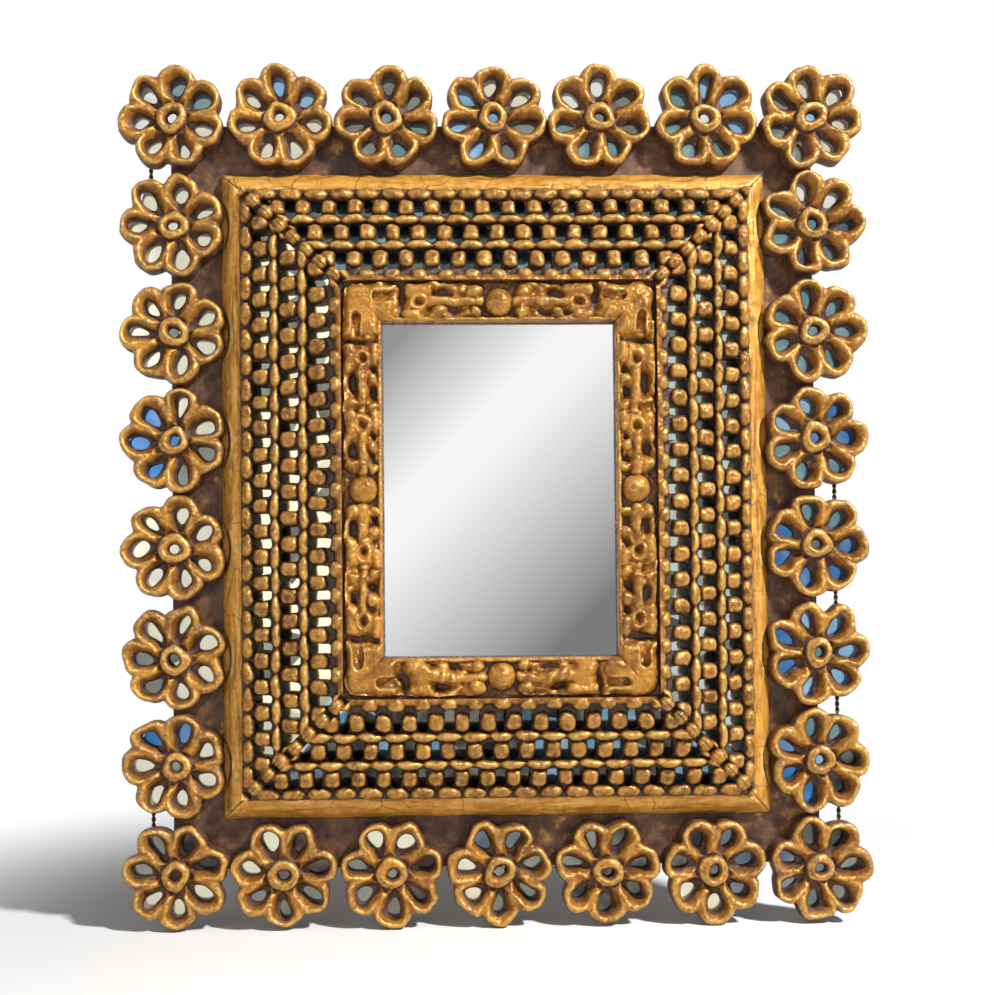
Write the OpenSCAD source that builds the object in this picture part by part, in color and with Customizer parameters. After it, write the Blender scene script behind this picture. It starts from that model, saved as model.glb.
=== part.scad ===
// Carved giltwood wall mirror with a lattice frame and a ring of pierced flowers.
// The front is drawn flat, with z as the depth from the wall, and then stood upright.
// The origin is the middle of the back, where the mirror lies against the wall.

/* [Centre mirror] */
// Width of the opening that shows the centre mirror
sight_w = 120; // [100:1:150]
// Height of the opening that shows the centre mirror
sight_h = 172; // [140:1:220]
// How far the border covers each edge of the centre mirror
lip = 3.5; // [2.5:0.5:5]
// Thickness of the centre mirror
glass_t = 3; // [2:0.5:4]
// Play round the edge of the centre mirror
glass_gap = 0.5; // [0.3:0.1:1]
// Thickness of the board behind the centre mirror
backing_t = 3; // [2:0.5:5]
// Radius of the sprigs that hold the board
sprig_r = 0.6; // [0.5:0.1:1]
// Length of a sprig inside the wood
sprig_in = 6; // [4:0.5:8]
// Length of a sprig over the board
sprig_out = 5; // [3:0.5:8]

/* [Widths seen from the front] */
// Width of the carved inner border
border_w = 21; // [18:0.5:26]
// Width of the sloping lattice
lattice_w = 54; // [52:1:62]
// Width of the plain moulding
moulding_w = 12; // [10:0.5:15]
// Flat part on top of the moulding, beside the lattice
moulding_flat = 2; // [1:0.5:4]
// How far the moulding lies under the lattice beside it
moulding_drop = 3; // [2:0.2:5]
// Width of the flat shelf outside the moulding
shelf_w = 26; // [22:0.5:27]

/* [Depths] */
// Thickness of the back panel
panel_t = 5; // [4.8:0.1:8]
// Thickness of the base rails
base_t = 13; // [12:0.5:18]
// Height of the core over the base rails, beside the moulding
core_low = 6; // [4:0.5:10]
// Rise of the slope from the moulding to the border
slope_rise = 20.6; // [15:0.2:26]
// Step from the top of the slope up to the seat of the border
seat_step = 1.4; // [0.6:0.2:3]
// Thickness of the bed of the border
border_bed = 3.5; // [2.5:0.5:5]
// Height of the carving over that bed
border_relief = 4.5; // [3:0.5:6]

/* [Lattice] */
// Thickness of the openwork
lattice_t = 5; // [4:0.5:7]
// Thickness of the mirror strips under it
strip_t = 2; // [1.5:0.5:3]
// Gap between each strip and the mitre
strip_gap = 0.3; // [0.2:0.1:1]
// Distance between the openings of a row
cell = 13.5; // [12.5:0.1:15]
// Width of an opening
window_w = 5.2; // [4:0.1:5.6]
// Length of an opening, up the slope
window_h = 11.2; // [9:0.1:11.4]
// Distance between the rows of openings, up the slope
row_pitch = 16.4; // [15.4:0.1:16.5]
// Distance from the border to the middle of the nearest row
first_row = 13.6; // [13.4:0.1:14]
// Wood left between the openings and a mitre
mitre_margin = 5; // [4.6:0.2:8]
// Radius of the posts between the openings
post_r = 3.9; // [3:0.1:3.9]
// Gap between the ball of a post and the mirror strip under it
post_gap = 0.1; // [0.1:0.1:0.5]
// Width of the raised bars between the rows
bar_w = 3.2; // [2.6:0.1:3.6]
// Height of those bars
bar_h = 1.2; // [0.8:0.1:1.6]
// Radius of the lumps along the bars
lump_r = 2.2; // [2:0.1:2.2]
// How far the middle of a lump stands over the surface
lump_lift = 0.9; // [0.8:0.05:1.1]
// Wood left round the rows of beads
bead_rim = 1.2; // [0.8:0.1:1.6]
// Radius of the beads beside the border
inner_bead_r = 2.4; // [2:0.1:2.6]
// Radius of the beads beside the moulding
outer_bead_r = 2.7; // [2.2:0.1:3]
// Radius of the beads along the mitres
mitre_bead_r = 3.1; // [2.6:0.1:3.2]
// Distance between the beads along a mitre
mitre_bead_step = 7; // [6.6:0.1:9]
// How far the middle of such a bead lies back from the mitre
mitre_bead_back = 0.3; // [0.2:0.05:0.6]

/* [Carving of the border] */
// Width of the roll beside the lattice and of the fillet round the opening
fillet_w = 2.4; // [1.8:0.1:3]
// Height of the fillet round the opening
fillet_h = 1.4; // [0.8:0.1:2]
// How far the roll lies under the highest carving
roll_drop = 1.6; // [1:0.1:2.5]
// Radius of the ball in the middle of a side
ball_r = 6.7; // [5.5:0.1:7]
// How far the middle of the ball lies over the bed
ball_lift = 0.8; // [0.6:0.1:1.2]
// From the corner of the opening back to the leaf block
leaf_back = 6.6; // [5:0.1:9]
// Radius of the tongues of the leaf block
tongue_r = 4; // [3.4:0.1:4.4]
// From the corner of the opening back to the middle of the scroll
scroll_back = 17.3; // [16.5:0.1:19]
// Radius of the scroll
scroll_r = 5.7; // [4.8:0.1:6]
// Radius of the hollow in the scroll
scroll_hole_r = 2.9; // [2:0.1:3.4]
// How much each step of the carving lies under the one before it
carve_step = 0.7; // [0.4:0.1:1]
// Radius of the stems between the scroll and the ball
stem_r = 1.9; // [1.5:0.1:2.2]
// Gap between the stems and the ball
stem_gap = 4; // [3:0.5:6]

/* [Flowers] */
// Petals of a flower
petals = 7; // [6:1:8]
// Size of the petals against the room that the ring of them has
petal_fill = 0.83; // [0.78:0.01:0.86]
// Thickness of a flower at its rim
flower_h = 10; // [8:0.5:12]
// Gap between neighbouring flowers
flower_gap = 0.5; // [0.4:0.1:2]
// From the moulding to the middle of a flower at the sides
reach_side = 24; // [23.5:0.5:28]
// From the moulding to the middle of a flower at the top and bottom
reach_end = 28; // [25:0.5:31]
// Width of the rolled rim
rim_w = 2.5; // [2:0.1:3.5]
// Depth of the hollow of a petal
dish_depth = 4.2; // [3:0.1:5]
// Length of the eye cut through a petal
eye_l = 9; // [7:0.2:11]
// Width of that eye
eye_w = 4.6; // [3.6:0.1:5.6]
// Radius of the middle of a flower
boss_r = 8.4; // [8.2:0.1:9]
// Radius of the roll that stands on the middle
roll_r = 2.8; // [2.2:0.1:2.8]
// Width of the groove round that roll
roll_groove = 0.6; // [0.4:0.1:1]
// Radius of the eye through the middle
boss_eye_r = 2.5; // [1.8:0.1:2.5]
// Thickness of the mirror scraps behind the flowers
scrap_t = 2; // [1.5:0.5:3]
// How far the scraps stay inside the tips of the petals
scrap_inset = 1.6; // [1:0.1:3]
// Reach of the scraps between two petals, as a share of their reach at the tips
scrap_neck = 0.84; // [0.78:0.01:0.85]
// Gap between a scrap and the moulding
scrap_gap = 1.2; // [0.8:0.1:3]
// How unevenly the scraps are cut, as a share of their radius
scrap_rough = 0.05; // [0:0.01:0.08]
// Radius of the tie wires
wire_r = 1.2; // [0.8:0.1:1.5]
// From the middle line of the flowers out to the wires
wire_out = 13; // [10:0.5:15]
// Length of a tie wire
wire_l = 34; // [28:1:40]
// Play between a wire and the scraps in front of it
wire_gap = 0.2; // [0.1:0.1:0.4]

/* [Back] */
// From the opening out to the edge of the back panel
panel_reach = 45; // [40:1:50]
// Radius of a nail
nail_r = 0.8; // [0.6:0.1:1]
// Length of a nail under its head
nail_l = 12; // [10:0.5:14]
// Radius of the head of a nail
nail_head_r = 2; // [1.6:0.1:2.5]
// Thickness of the head of a nail
nail_head_t = 0.8; // [0.6:0.1:1.2]
// How far the head of a nail lies under the face of the panel
nail_head_d = 0.3; // [0.2:0.1:0.6]
// Play round the head of a nail
nail_head_gap = 0.2; // [0.1:0.1:0.4]
// From the edge of the panel in to the nails
nail_inset = 8; // [6:0.5:12]
// From the moulding up to the hinge of the hanging ring
ring_up = 5; // [3:0.5:7]
// Radius of the hanging ring to the middle of its wire
ring_r = 11; // [9:0.5:11.5]
// Radius of the wire of the ring
ring_wire_r = 1.15; // [0.9:0.05:1.25]
// Radius of the straight bar of the ring
ring_bar_r = 1.3; // [1.3:0.05:1.4]
// Play of that bar in the strap
bar_play = 0.06; // [0.03:0.01:0.09]
// Width of the strap
strap_w = 12; // [8:0.5:13]
// Thickness of the strap
strap_t = 0.8; // [0.6:0.1:0.9]
// Height of the hinge over the wood
hinge_h = 2.5; // [2.5:0.05:2.6]
// From the hinge down to the first screw
screw_first = 16; // [16:0.5:17]
// Distance between the screws
screw_pitch = 10; // [8:0.5:11]
// Radius of a screw
screw_r = 1.5; // [1.2:0.1:1.7]
// Radius of the head of a screw
screw_head_r = 2.9; // [2.4:0.1:3]
// Height of the head of a screw
screw_head_h = 1.5; // [1:0.1:1.8]
// Length of a screw in the wood
screw_l = 9; // [6:0.5:10]
// Width of the slot of a screw
slot_w = 0.8; // [0.6:0.1:1]
// Depth of that slot
slot_h = 0.7; // [0.5:0.1:0.9]
// Play of nails, sprigs and screws in their holes
hole_play = 0.05; // [0.03:0.01:0.1]

/* [Hidden] */
$fn = 48;
across = 7;
down = 8;
flowers = 2 * (across + down) - 4;
// Small turns of the flowers away from square, as carved by hand, clockwise from the top left
flower_turn = [7, 0, 4, 0, 0, 0, -8, 1, 2, 1, 1, -2, 0, 9, -1, 0, -1, -1, -1, -5, -1, 2, -3, -2, -1, -1];
// Flowers after which a tie wire is left
wired = [9, 10, 11, 12, 19, 25];
SIDES = ["top", "right", "bottom", "left"];
// Air between wooden pieces that pass over each other
air = 0.3;
// Cuts run on by this much past what they cut
past = 1;
// Middles of the two tongues and of the two stems, as shares of the width of the border
TONGUES = [0.33, 0.76];
STEMS = [0.36, 0.72];

function two(n) = n < 10 ? str("0", n) : str(n);
FLOWER_NODES = [for (i = [1 : flowers]) str("flower_", two(i))];

// Distances out from the opening
well_t = lip + glass_gap;
mould_in = border_w + lattice_w;
mould_out = mould_in + moulding_w;
shelf_out = mould_out + shelf_w;

// Depths from the wall
base_d = panel_t + base_t;
slope_d0 = base_d + core_low;
slope_d1 = slope_d0 + slope_rise;
seat_d = slope_d1 + seat_step;
bed_d = seat_d + border_bed;
front_d = bed_d + border_relief;
glass_d = seat_d - glass_t;
backing_d = glass_d - backing_t;
sprig_d = backing_d - sprig_r - wire_gap;
slope_a = atan2(slope_rise, lattice_w);
slope_l = lattice_w / cos(slope_a);
strip_v = strip_t / cos(slope_a);
lattice_v = lattice_t / cos(slope_a);

// The ring of flowers
half_x = sight_w / 2 + mould_out + reach_side;
half_y = sight_h / 2 + mould_out + reach_end;
pitch_x = 2 * half_x / (across - 1);
pitch_y = 2 * half_y / (down - 1);
flower_r = (min(pitch_x, pitch_y) - flower_gap) / 2;
lobe_r = petal_fill * flower_r * sin(180 / petals);
dish_r = (flower_r - rim_w - boss_r) / 2;
dish_c = boss_r + dish_r;
dish_sphere = (dish_r * dish_r + dish_depth * dish_depth) / (2 * dish_depth);
roll_d = flower_h - roll_r - air;
boss_d = roll_d - air;
scrap_r = flower_r - scrap_inset;
scrap_t0 = mould_out + scrap_gap;
crown_out = mould_out + reach_side - flower_r - flower_gap;

// The back
nail_t = panel_reach - nail_inset;
ring_d = panel_t - hinge_h;
strap_bore = ring_bar_r + bar_play;
strap_end = screw_first + screw_pitch + strap_w / 2;
ring_y = sight_h / 2 + mould_out + ring_up;

function side_l(s) = s % 2 == 0 ? sight_w : sight_h;
function half_l(s, t) = side_l(s) / 2 + t;
function flower_side(i) = i < across ? 0 : i < across + down - 2 ? 1 : i < 2 * across + down - 2 ? 2 : 3;
function flower_x(i) =
    flower_side(i) == 0 ? -half_x + i * pitch_x :
    flower_side(i) == 1 ? half_x :
    flower_side(i) == 2 ? half_x - (i - across - down + 2) * pitch_x : -half_x;
function flower_y(i) =
    flower_side(i) == 0 ? half_y :
    flower_side(i) == 1 ? half_y - (i - across + 1) * pitch_y :
    flower_side(i) == 2 ? -half_y : -half_y + (i - 2 * across - down + 3) * pitch_y;
// Distance down the slope to the middle of a row of openings
function row_u(row) = first_row + row * row_pitch;
// Places along a side, u down the slope, for things that reach half_w each way and keep off the mitres
function places(s, u, half_w, phase) =
    let (n = floor((half_l(s, border_w + u * cos(slope_a)) - mitre_margin - half_w) / cell - phase / 2))
    [for (i = [-n - phase : n]) (i + phase / 2) * cell];
// Depth of the face of the lattice at a distance t from the opening
function lattice_face(t) = slope_d0 + strip_v + lattice_v + (mould_in - t) * tan(slope_a);

// Stands the flat drawing up, with its depth towards the viewer
module upright() rotate([90, 0, 0]) children();

// Lays a piece of the top side along side s: x runs along it, y out from the opening
module on_side(s) rotate([0, 0, -90 * s]) translate([0, side_l(1 - s % 2) / 2, 0]) children();

// Plan of a side between two distances from the opening, mitred at both ends
module mitred(s, t0, t1, trim = 0) {
    polygon([
        [trim - half_l(s, t0), t0], [half_l(s, t0) - trim, t0],
        [half_l(s, t1) - trim, t1], [trim - half_l(s, t1), t1]
    ]);
}

// A bar with its section drawn as distance from the opening and depth
module bar(s) {
    rotate([90, 0, 90])
        translate([0, 0, -half_l(s, shelf_out)])
            linear_extrude(2 * half_l(s, shelf_out)) children();
}

// A mitred bar of such a section
module mitred_bar(s, t0, t1) {
    intersection() {
        bar(s) children();
        linear_extrude(2 * front_d) mitred(s, t0, t1);
    }
}

// The plane that the core's slope lies in: y runs down the slope, z out of it
module on_slope() {
    translate([0, border_w, slope_d1]) rotate([-slope_a, 0, 0]) children();
}

// Places on a side where the back panel is nailed
module nail_places(s) {
    for (x = [-1, 0, 1])
        translate([x * half_l(s, nail_inset), nail_t, 0]) children();
}

// Places on a side where a sprig goes in
module sprig_places(s) {
    for (x = [-1, 1])
        translate([x * side_l(s) / 4, well_t, sprig_d]) rotate([-90, 0, 0]) children();
}

// Places of the screws of the strap
module screw_places() {
    for (k = [0, 1])
        translate([0, ring_y - screw_first - k * screw_pitch, 0]) children();
}

module base_rail(s) {
    color("#4a3226") upright() difference() {
        on_side(s) difference() {
            translate([0, 0, panel_t]) linear_extrude(base_t) mitred(s, well_t, shelf_out);
            nail_places(s)
                cylinder(r = nail_r + hole_play, h = nail_head_d + nail_head_t + nail_l + hole_play);
        }
        if (s == 0)
            screw_places() cylinder(r = screw_r + hole_play, h = panel_t + screw_l + hole_play);
    }
}

module core(s) {
    color("#6b4a30") upright() on_side(s) difference() {
        mitred_bar(s, well_t, mould_in)
            polygon([
                [well_t, base_d], [mould_in, base_d], [mould_in, slope_d0],
                [border_w, slope_d1], [border_w, seat_d], [well_t, seat_d]
            ]);
        sprig_places(s)
            translate([0, 0, -past]) cylinder(r = sprig_r + hole_play, h = sprig_in + hole_play + past);
    }
}

module moulding(s) {
    toe_d = base_d + scrap_t - air;
    crest_d = slope_d0 + strip_v + lattice_v - moulding_drop;
    color("#c9923a") upright() on_side(s) mitred_bar(s, mould_in, mould_out) {
        intersection() {
            translate([mould_in, base_d]) square([crown_out - mould_in, crest_d]);
            union() {
                translate([mould_in, base_d]) square([moulding_flat, crest_d - base_d]);
                translate([mould_in + moulding_flat, base_d]) circle(r = crest_d - base_d);
            }
        }
        translate([mould_in, base_d]) square([moulding_w, toe_d - base_d]);
    }
}

module lattice_windows(s) {
    for (row = [0 : 2], x = places(s, row_u(row) - window_h / 2, window_w / 2, row % 2))
        translate([x, row_u(row)]) square([window_w, window_h], center = true);
}

// The rounded posts between the openings
module lattice_posts(s) {
    for (row = [0 : 2], x = places(s, row_u(row), post_r, 1 - row % 2))
        translate([x, row_u(row), post_r + post_gap]) sphere(r = post_r);
}

// The two bars between the rows, with a lump over each opening of the row inside it
module lattice_bars(s) {
    for (row = [0.5, 1.5]) {
        translate([-half_l(s, mould_in), row_u(row) - bar_w / 2, 0])
            cube([2 * half_l(s, mould_in), bar_w, lattice_t + bar_h]);
        for (x = places(s, row_u(row), lump_r, floor(row)))
            translate([x, row_u(row), lattice_t + lump_lift]) sphere(r = lump_r);
    }
}

// The rows of beads along both edges
module lattice_beads(s) {
    inner_u = first_row - window_h / 2 - inner_bead_r - bead_rim;
    outer_u = slope_l - outer_bead_r - bead_rim / 2;
    for (x = places(s, inner_u, inner_bead_r, 1))
        translate([x, inner_u, lattice_t]) sphere(r = inner_bead_r);
    for (x = places(s, outer_u, outer_bead_r, 0))
        translate([x, outer_u, lattice_t]) sphere(r = outer_bead_r);
}

// Beads on the mitre, a little over half on each panel
module mitre_beads(s) {
    step = mitre_bead_step / sqrt(2);
    n = floor((lattice_w - 2 * mitre_bead_r) / step);
    for (k = [0 : n], m = [-1, 1]) {
        t = border_w + mitre_bead_r + k * step;
        translate([m * (half_l(s, t) - mitre_bead_back), t, lattice_face(t)]) sphere(r = mitre_bead_r);
    }
}

module lattice(s) {
    color("#c08a35") upright() on_side(s) intersection() {
        union() {
            on_slope() translate([0, -(strip_t + lattice_t) * tan(slope_a), strip_t]) {
                linear_extrude(lattice_t) difference() {
                    translate([-half_l(s, shelf_out), -lattice_t])
                        square([2 * half_l(s, shelf_out), slope_l + 3 * lattice_t]);
                    lattice_windows(s);
                }
                lattice_posts(s);
                lattice_bars(s);
                lattice_beads(s);
            }
            mitre_beads(s);
        }
        linear_extrude(2 * front_d) mitred(s, border_w, mould_in);
    }
}

module lattice_mirrors() {
    color("#a9c4c4") upright()
        for (s = [0 : 3])
            on_side(s) intersection() {
                on_slope()
                    translate([-half_l(s, shelf_out), -strip_t, 0])
                        cube([2 * half_l(s, shelf_out), slope_l + 2 * strip_t, strip_t]);
                linear_extrude(2 * front_d) mitred(s, border_w, mould_in, strip_gap);
            }
}

// Carving of one half of a side of the border, drawn to the right of its middle
module border_carving(s) {
    scroll_x = half_l(s, 0) - scroll_back;
    // Leaf block over the corner, with two tongues
    translate([half_l(s, 0) - leaf_back, 0, seat_d])
        linear_extrude(front_d - carve_step - seat_d) {
            translate([0, fillet_w]) square([half_l(s, border_w), border_w - 1.5 * fillet_w]);
            for (t = TONGUES)
                translate([0, border_w * t]) circle(r = tongue_r);
        }
    // Scroll with its round hollow
    translate([scroll_x, border_w / 2, seat_d]) difference() {
        cylinder(r = scroll_r, h = front_d - 2 * carve_step - seat_d);
        translate([0, 0, border_bed + carve_step]) cylinder(r = scroll_hole_r, h = border_relief);
    }
    // Two stems from the scroll towards the ball
    for (t = STEMS)
        translate([ball_r + stem_gap, border_w * t, bed_d + carve_step]) rotate([0, 90, 0])
            cylinder(r = stem_r, h = scroll_x - ball_r - 2 * stem_gap);
}

module inner_border(s) {
    roll_t = border_w - fillet_w;
    roll_top = front_d - roll_drop;
    fillet_top = bed_d + fillet_h;
    color("#cf9a3c") upright() on_side(s) intersection() {
        union() {
            bar(s) polygon([
                [0, seat_d], [border_w, seat_d], [border_w, roll_top], [roll_t, roll_top],
                [roll_t - fillet_w / 2, bed_d], [fillet_w, bed_d], [fillet_w, fillet_top], [0, fillet_top]
            ]);
            border_carving(s);
            mirror([1, 0, 0]) border_carving(s);
            translate([0, border_w / 2, bed_d + ball_lift]) sphere(r = ball_r);
        }
        translate([0, 0, seat_d]) linear_extrude(front_d) mitred(s, 0, border_w);
    }
}

// A flower with its back at z = 0 and one petal pointing up
module flower_form() {
    web_r = flower_r - 1.4 * lobe_r;
    difference() {
        linear_extrude(flower_h) {
            circle(r = web_r);
            for (k = [0 : petals - 1])
                rotate(k * 360 / petals) translate([0, flower_r - lobe_r]) circle(r = lobe_r);
        }
        for (k = [0 : petals - 1])
            rotate(k * 360 / petals) {
                translate([0, dish_c, flower_h - dish_depth + dish_sphere]) sphere(r = dish_sphere);
                translate([0, dish_c, -past]) linear_extrude(flower_h) {
                    for (m = [-1, 1])
                        translate([0, m * (eye_l - eye_w) / 2]) circle(d = eye_w);
                    square([eye_w, eye_l - eye_w], center = true);
                }
            }
        translate([0, 0, boss_d]) cylinder(r = boss_r + roll_groove, h = flower_h);
        translate([0, 0, -past]) cylinder(r = boss_eye_r, h = flower_h + 2 * past);
    }
    translate([0, 0, roll_d]) rotate_extrude() translate([boss_r - roll_r, 0]) circle(r = roll_r);
}

module flower(i) {
    color("#c48f38") upright()
        translate([flower_x(i), flower_y(i), base_d + scrap_t])
            rotate(-90 * flower_side(i) - flower_turn[i]) flower_form();
}

// Plan of the scrap behind a flower: roughly cut to its petals
module scrap_plan(i) {
    translate([flower_x(i), flower_y(i)]) rotate(-90 * flower_side(i) - flower_turn[i])
        polygon([
            for (k = [0 : 2 * petals - 1])
                let (a = 180 * k / petals, cut = scrap_rough * abs(sin(97 * k + 41 * i)))
                scrap_r * (k % 2 == 0 ? 1 : scrap_neck) * (1 - cut) * [sin(a), cos(a)]
        ]);
}

// Mirror scraps behind the flowers of one side, cut straight beside the moulding
module flower_mirrors(s) {
    color("#93b4bb") upright()
        for (i = [0 : flowers - 1])
            if (flower_side(i) == s)
                translate([0, 0, base_d]) linear_extrude(scrap_t) difference() {
                    scrap_plan(i);
                    square(2 * [half_l(0, scrap_t0), half_l(1, scrap_t0)], center = true);
                }
}

module centre_mirror() {
    color("#d9dcdd") upright()
        translate([-half_l(0, lip), -half_l(1, lip), glass_d])
            cube([2 * half_l(0, lip), 2 * half_l(1, lip), glass_t]);
}

module mirror_backing() {
    color("#8a6a48") upright()
        translate([-half_l(0, lip), -half_l(1, lip), backing_d])
            cube([2 * half_l(0, lip), 2 * half_l(1, lip), backing_t]);
}

module glazing_sprigs() {
    color("#6d6a66") upright()
        for (s = [0 : 3])
            on_side(s) sprig_places(s)
                translate([0, 0, -sprig_out]) cylinder(r = sprig_r, h = sprig_out + sprig_in);
}

module tie_wires() {
    color("#3c3a2c") upright()
        for (i = wired) {
            j = (i + 1) % flowers;
            side = flower_x(i) > 0 ? 1 : -1;
            translate([
                flower_x(i) + side * wire_out, (flower_y(i) + flower_y(j)) / 2,
                base_d - wire_r - wire_gap
            ])
                rotate([90, 0, 0]) cylinder(r = wire_r, h = wire_l, center = true);
        }
}

module back_panel() {
    color("#8b6b4a") upright() difference() {
        translate([-half_l(0, panel_reach), -half_l(1, panel_reach), 0])
            cube([2 * half_l(0, panel_reach), 2 * half_l(1, panel_reach), panel_t]);
        for (s = [0 : 3])
            on_side(s) nail_places(s) {
                translate([0, 0, -past]) {
                    cylinder(r = nail_r + hole_play, h = panel_t + 2 * past);
                    cylinder(r = nail_head_r + nail_head_gap, h = past + nail_head_d + nail_head_t);
                }
            }
    }
}

module back_panel_nails() {
    color("#77736c") upright()
        for (s = [0 : 3])
            on_side(s) nail_places(s) translate([0, 0, nail_head_d]) {
                cylinder(r = nail_head_r, h = nail_head_t);
                cylinder(r = nail_r, h = nail_head_t + nail_l);
            }
}

module hanger_strap() {
    color("#8f8264") upright() translate([0, ring_y, 0]) difference() {
        union() {
            translate([0, 0, ring_d]) rotate([0, 90, 0])
                cylinder(r = strap_bore + strap_t, h = strap_w, center = true);
            translate([-strap_w / 2, strap_w / 2 - strap_end, panel_t - strap_t])
                cube([strap_w, strap_end - strap_w / 2, strap_t]);
            translate([0, strap_w / 2 - strap_end, panel_t - strap_t])
                cylinder(r = strap_w / 2, h = strap_t);
        }
        translate([0, 0, ring_d]) rotate([0, 90, 0])
            cylinder(r = strap_bore, h = strap_w + 2 * past, center = true);
        for (k = [0, 1])
            translate([0, -screw_first - k * screw_pitch, 0])
                cylinder(r = screw_r + 2 * hole_play, h = panel_t + past);
    }
}

module hanger_ring() {
    color("#a08f66") upright() translate([0, ring_y, ring_d]) {
        rotate([0, 90, 0]) cylinder(r = ring_bar_r, h = 2 * (ring_r + ring_wire_r), center = true);
        rotate([0, 0, 180]) rotate_extrude(angle = 180) translate([ring_r, 0]) circle(r = ring_wire_r);
    }
}

module hanger_screws() {
    head_d = panel_t - strap_t - screw_head_h;
    color("#a39a80") upright() screw_places() difference() {
        union() {
            translate([0, 0, head_d]) cylinder(r = screw_head_r, h = screw_head_h);
            translate([0, 0, head_d]) cylinder(r = screw_r, h = screw_head_h + strap_t + screw_l);
        }
        translate([-screw_head_r, -slot_w / 2, head_d - past])
            cube([2 * screw_head_r, slot_w, past + slot_h]);
    }
}

for (s = [0 : 3]) {
    base_rail(s);
    core(s);
    moulding(s);
    lattice(s);
    inner_border(s);
    flower_mirrors(s);
}
for (i = [0 : flowers - 1])
    flower(i);
lattice_mirrors();
centre_mirror();
mirror_backing();
glazing_sprigs();
tie_wires();
back_panel();
back_panel_nails();
hanger_strap();
hanger_ring();
hanger_screws();
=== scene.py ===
import math

import bpy
import numpy as np
from mathutils import Matrix, Vector


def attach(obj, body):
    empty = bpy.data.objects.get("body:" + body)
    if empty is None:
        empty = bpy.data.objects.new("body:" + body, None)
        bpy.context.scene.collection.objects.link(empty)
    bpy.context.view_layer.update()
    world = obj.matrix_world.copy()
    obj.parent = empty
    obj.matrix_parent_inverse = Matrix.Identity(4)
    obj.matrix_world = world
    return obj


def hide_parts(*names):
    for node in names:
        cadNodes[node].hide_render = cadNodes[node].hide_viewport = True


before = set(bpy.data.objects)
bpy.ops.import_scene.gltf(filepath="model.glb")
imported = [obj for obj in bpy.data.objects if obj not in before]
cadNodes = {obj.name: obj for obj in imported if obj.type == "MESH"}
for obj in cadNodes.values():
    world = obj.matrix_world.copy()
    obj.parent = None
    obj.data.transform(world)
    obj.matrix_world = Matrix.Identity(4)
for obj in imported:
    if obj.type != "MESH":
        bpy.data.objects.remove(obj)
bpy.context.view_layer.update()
print("frame loaded:", len(cadNodes), "nodes")

mm = 0.001                  # the sizes of the pieces are in mm, Blender's are in metres
mitreShare = 0.7071         # sine and cosine of the 45 degrees of a mitre

# The frame as it is built. t goes out from the opening, depths go out from the wall.
plan = {
    "half": (199.2, 229.2),
    "sightHalf": (60.0, 86.0),
    "borderW": 21.0,
    "latticeW": 54.0,
    "mouldW": 12.0,
    "baseD": 18.0,          # front of the rails
    "scrapD": 20.0,         # front of the mirror scraps
    "seatD": 46.0,          # front of the core under the border
    "slopeRise": 20.6,      # of the lattice's slope, over its whole width
    "slopeLow": 24.0,       # depth at the outer edge of the core's slope
    "faceLow": 31.49,       # depth there at the front of the lattice
}
plan["mouldIn"] = plan["borderW"] + plan["latticeW"]
plan["mouldOut"] = plan["mouldIn"] + plan["mouldW"]
sideNames = ["top", "right", "bottom", "left"]


def sideHalf(side):
    return plan["sightHalf"][side % 2]


class Val:
    def __init__(self, owner, socket):
        self.owner = owner
        self.socket = socket

    def out(self, name):
        return Val(self.owner, self.socket.node.outputs[name])

    def math(self, operation, *others):
        return self.owner.math(operation, self, *others)

    def __add__(self, b): return self.math("ADD", b)
    def __radd__(self, b): return self.owner.math("ADD", b, self)
    def __sub__(self, b): return self.math("SUBTRACT", b)
    def __rsub__(self, b): return self.owner.math("SUBTRACT", b, self)
    def __mul__(self, b): return self.math("MULTIPLY", b)
    def __rmul__(self, b): return self.owner.math("MULTIPLY", b, self)
    def __truediv__(self, b): return self.math("DIVIDE", b)
    def __rtruediv__(self, b): return self.owner.math("DIVIDE", b, self)
    def __pow__(self, b): return self.math("POWER", b)
    def __neg__(self): return self.math("MULTIPLY", -1.0)
    def __abs__(self): return self.math("ABSOLUTE")
    def __lt__(self, b): return self.math("LESS_THAN", b)
    def __gt__(self, b): return self.math("GREATER_THAN", b)


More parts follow.
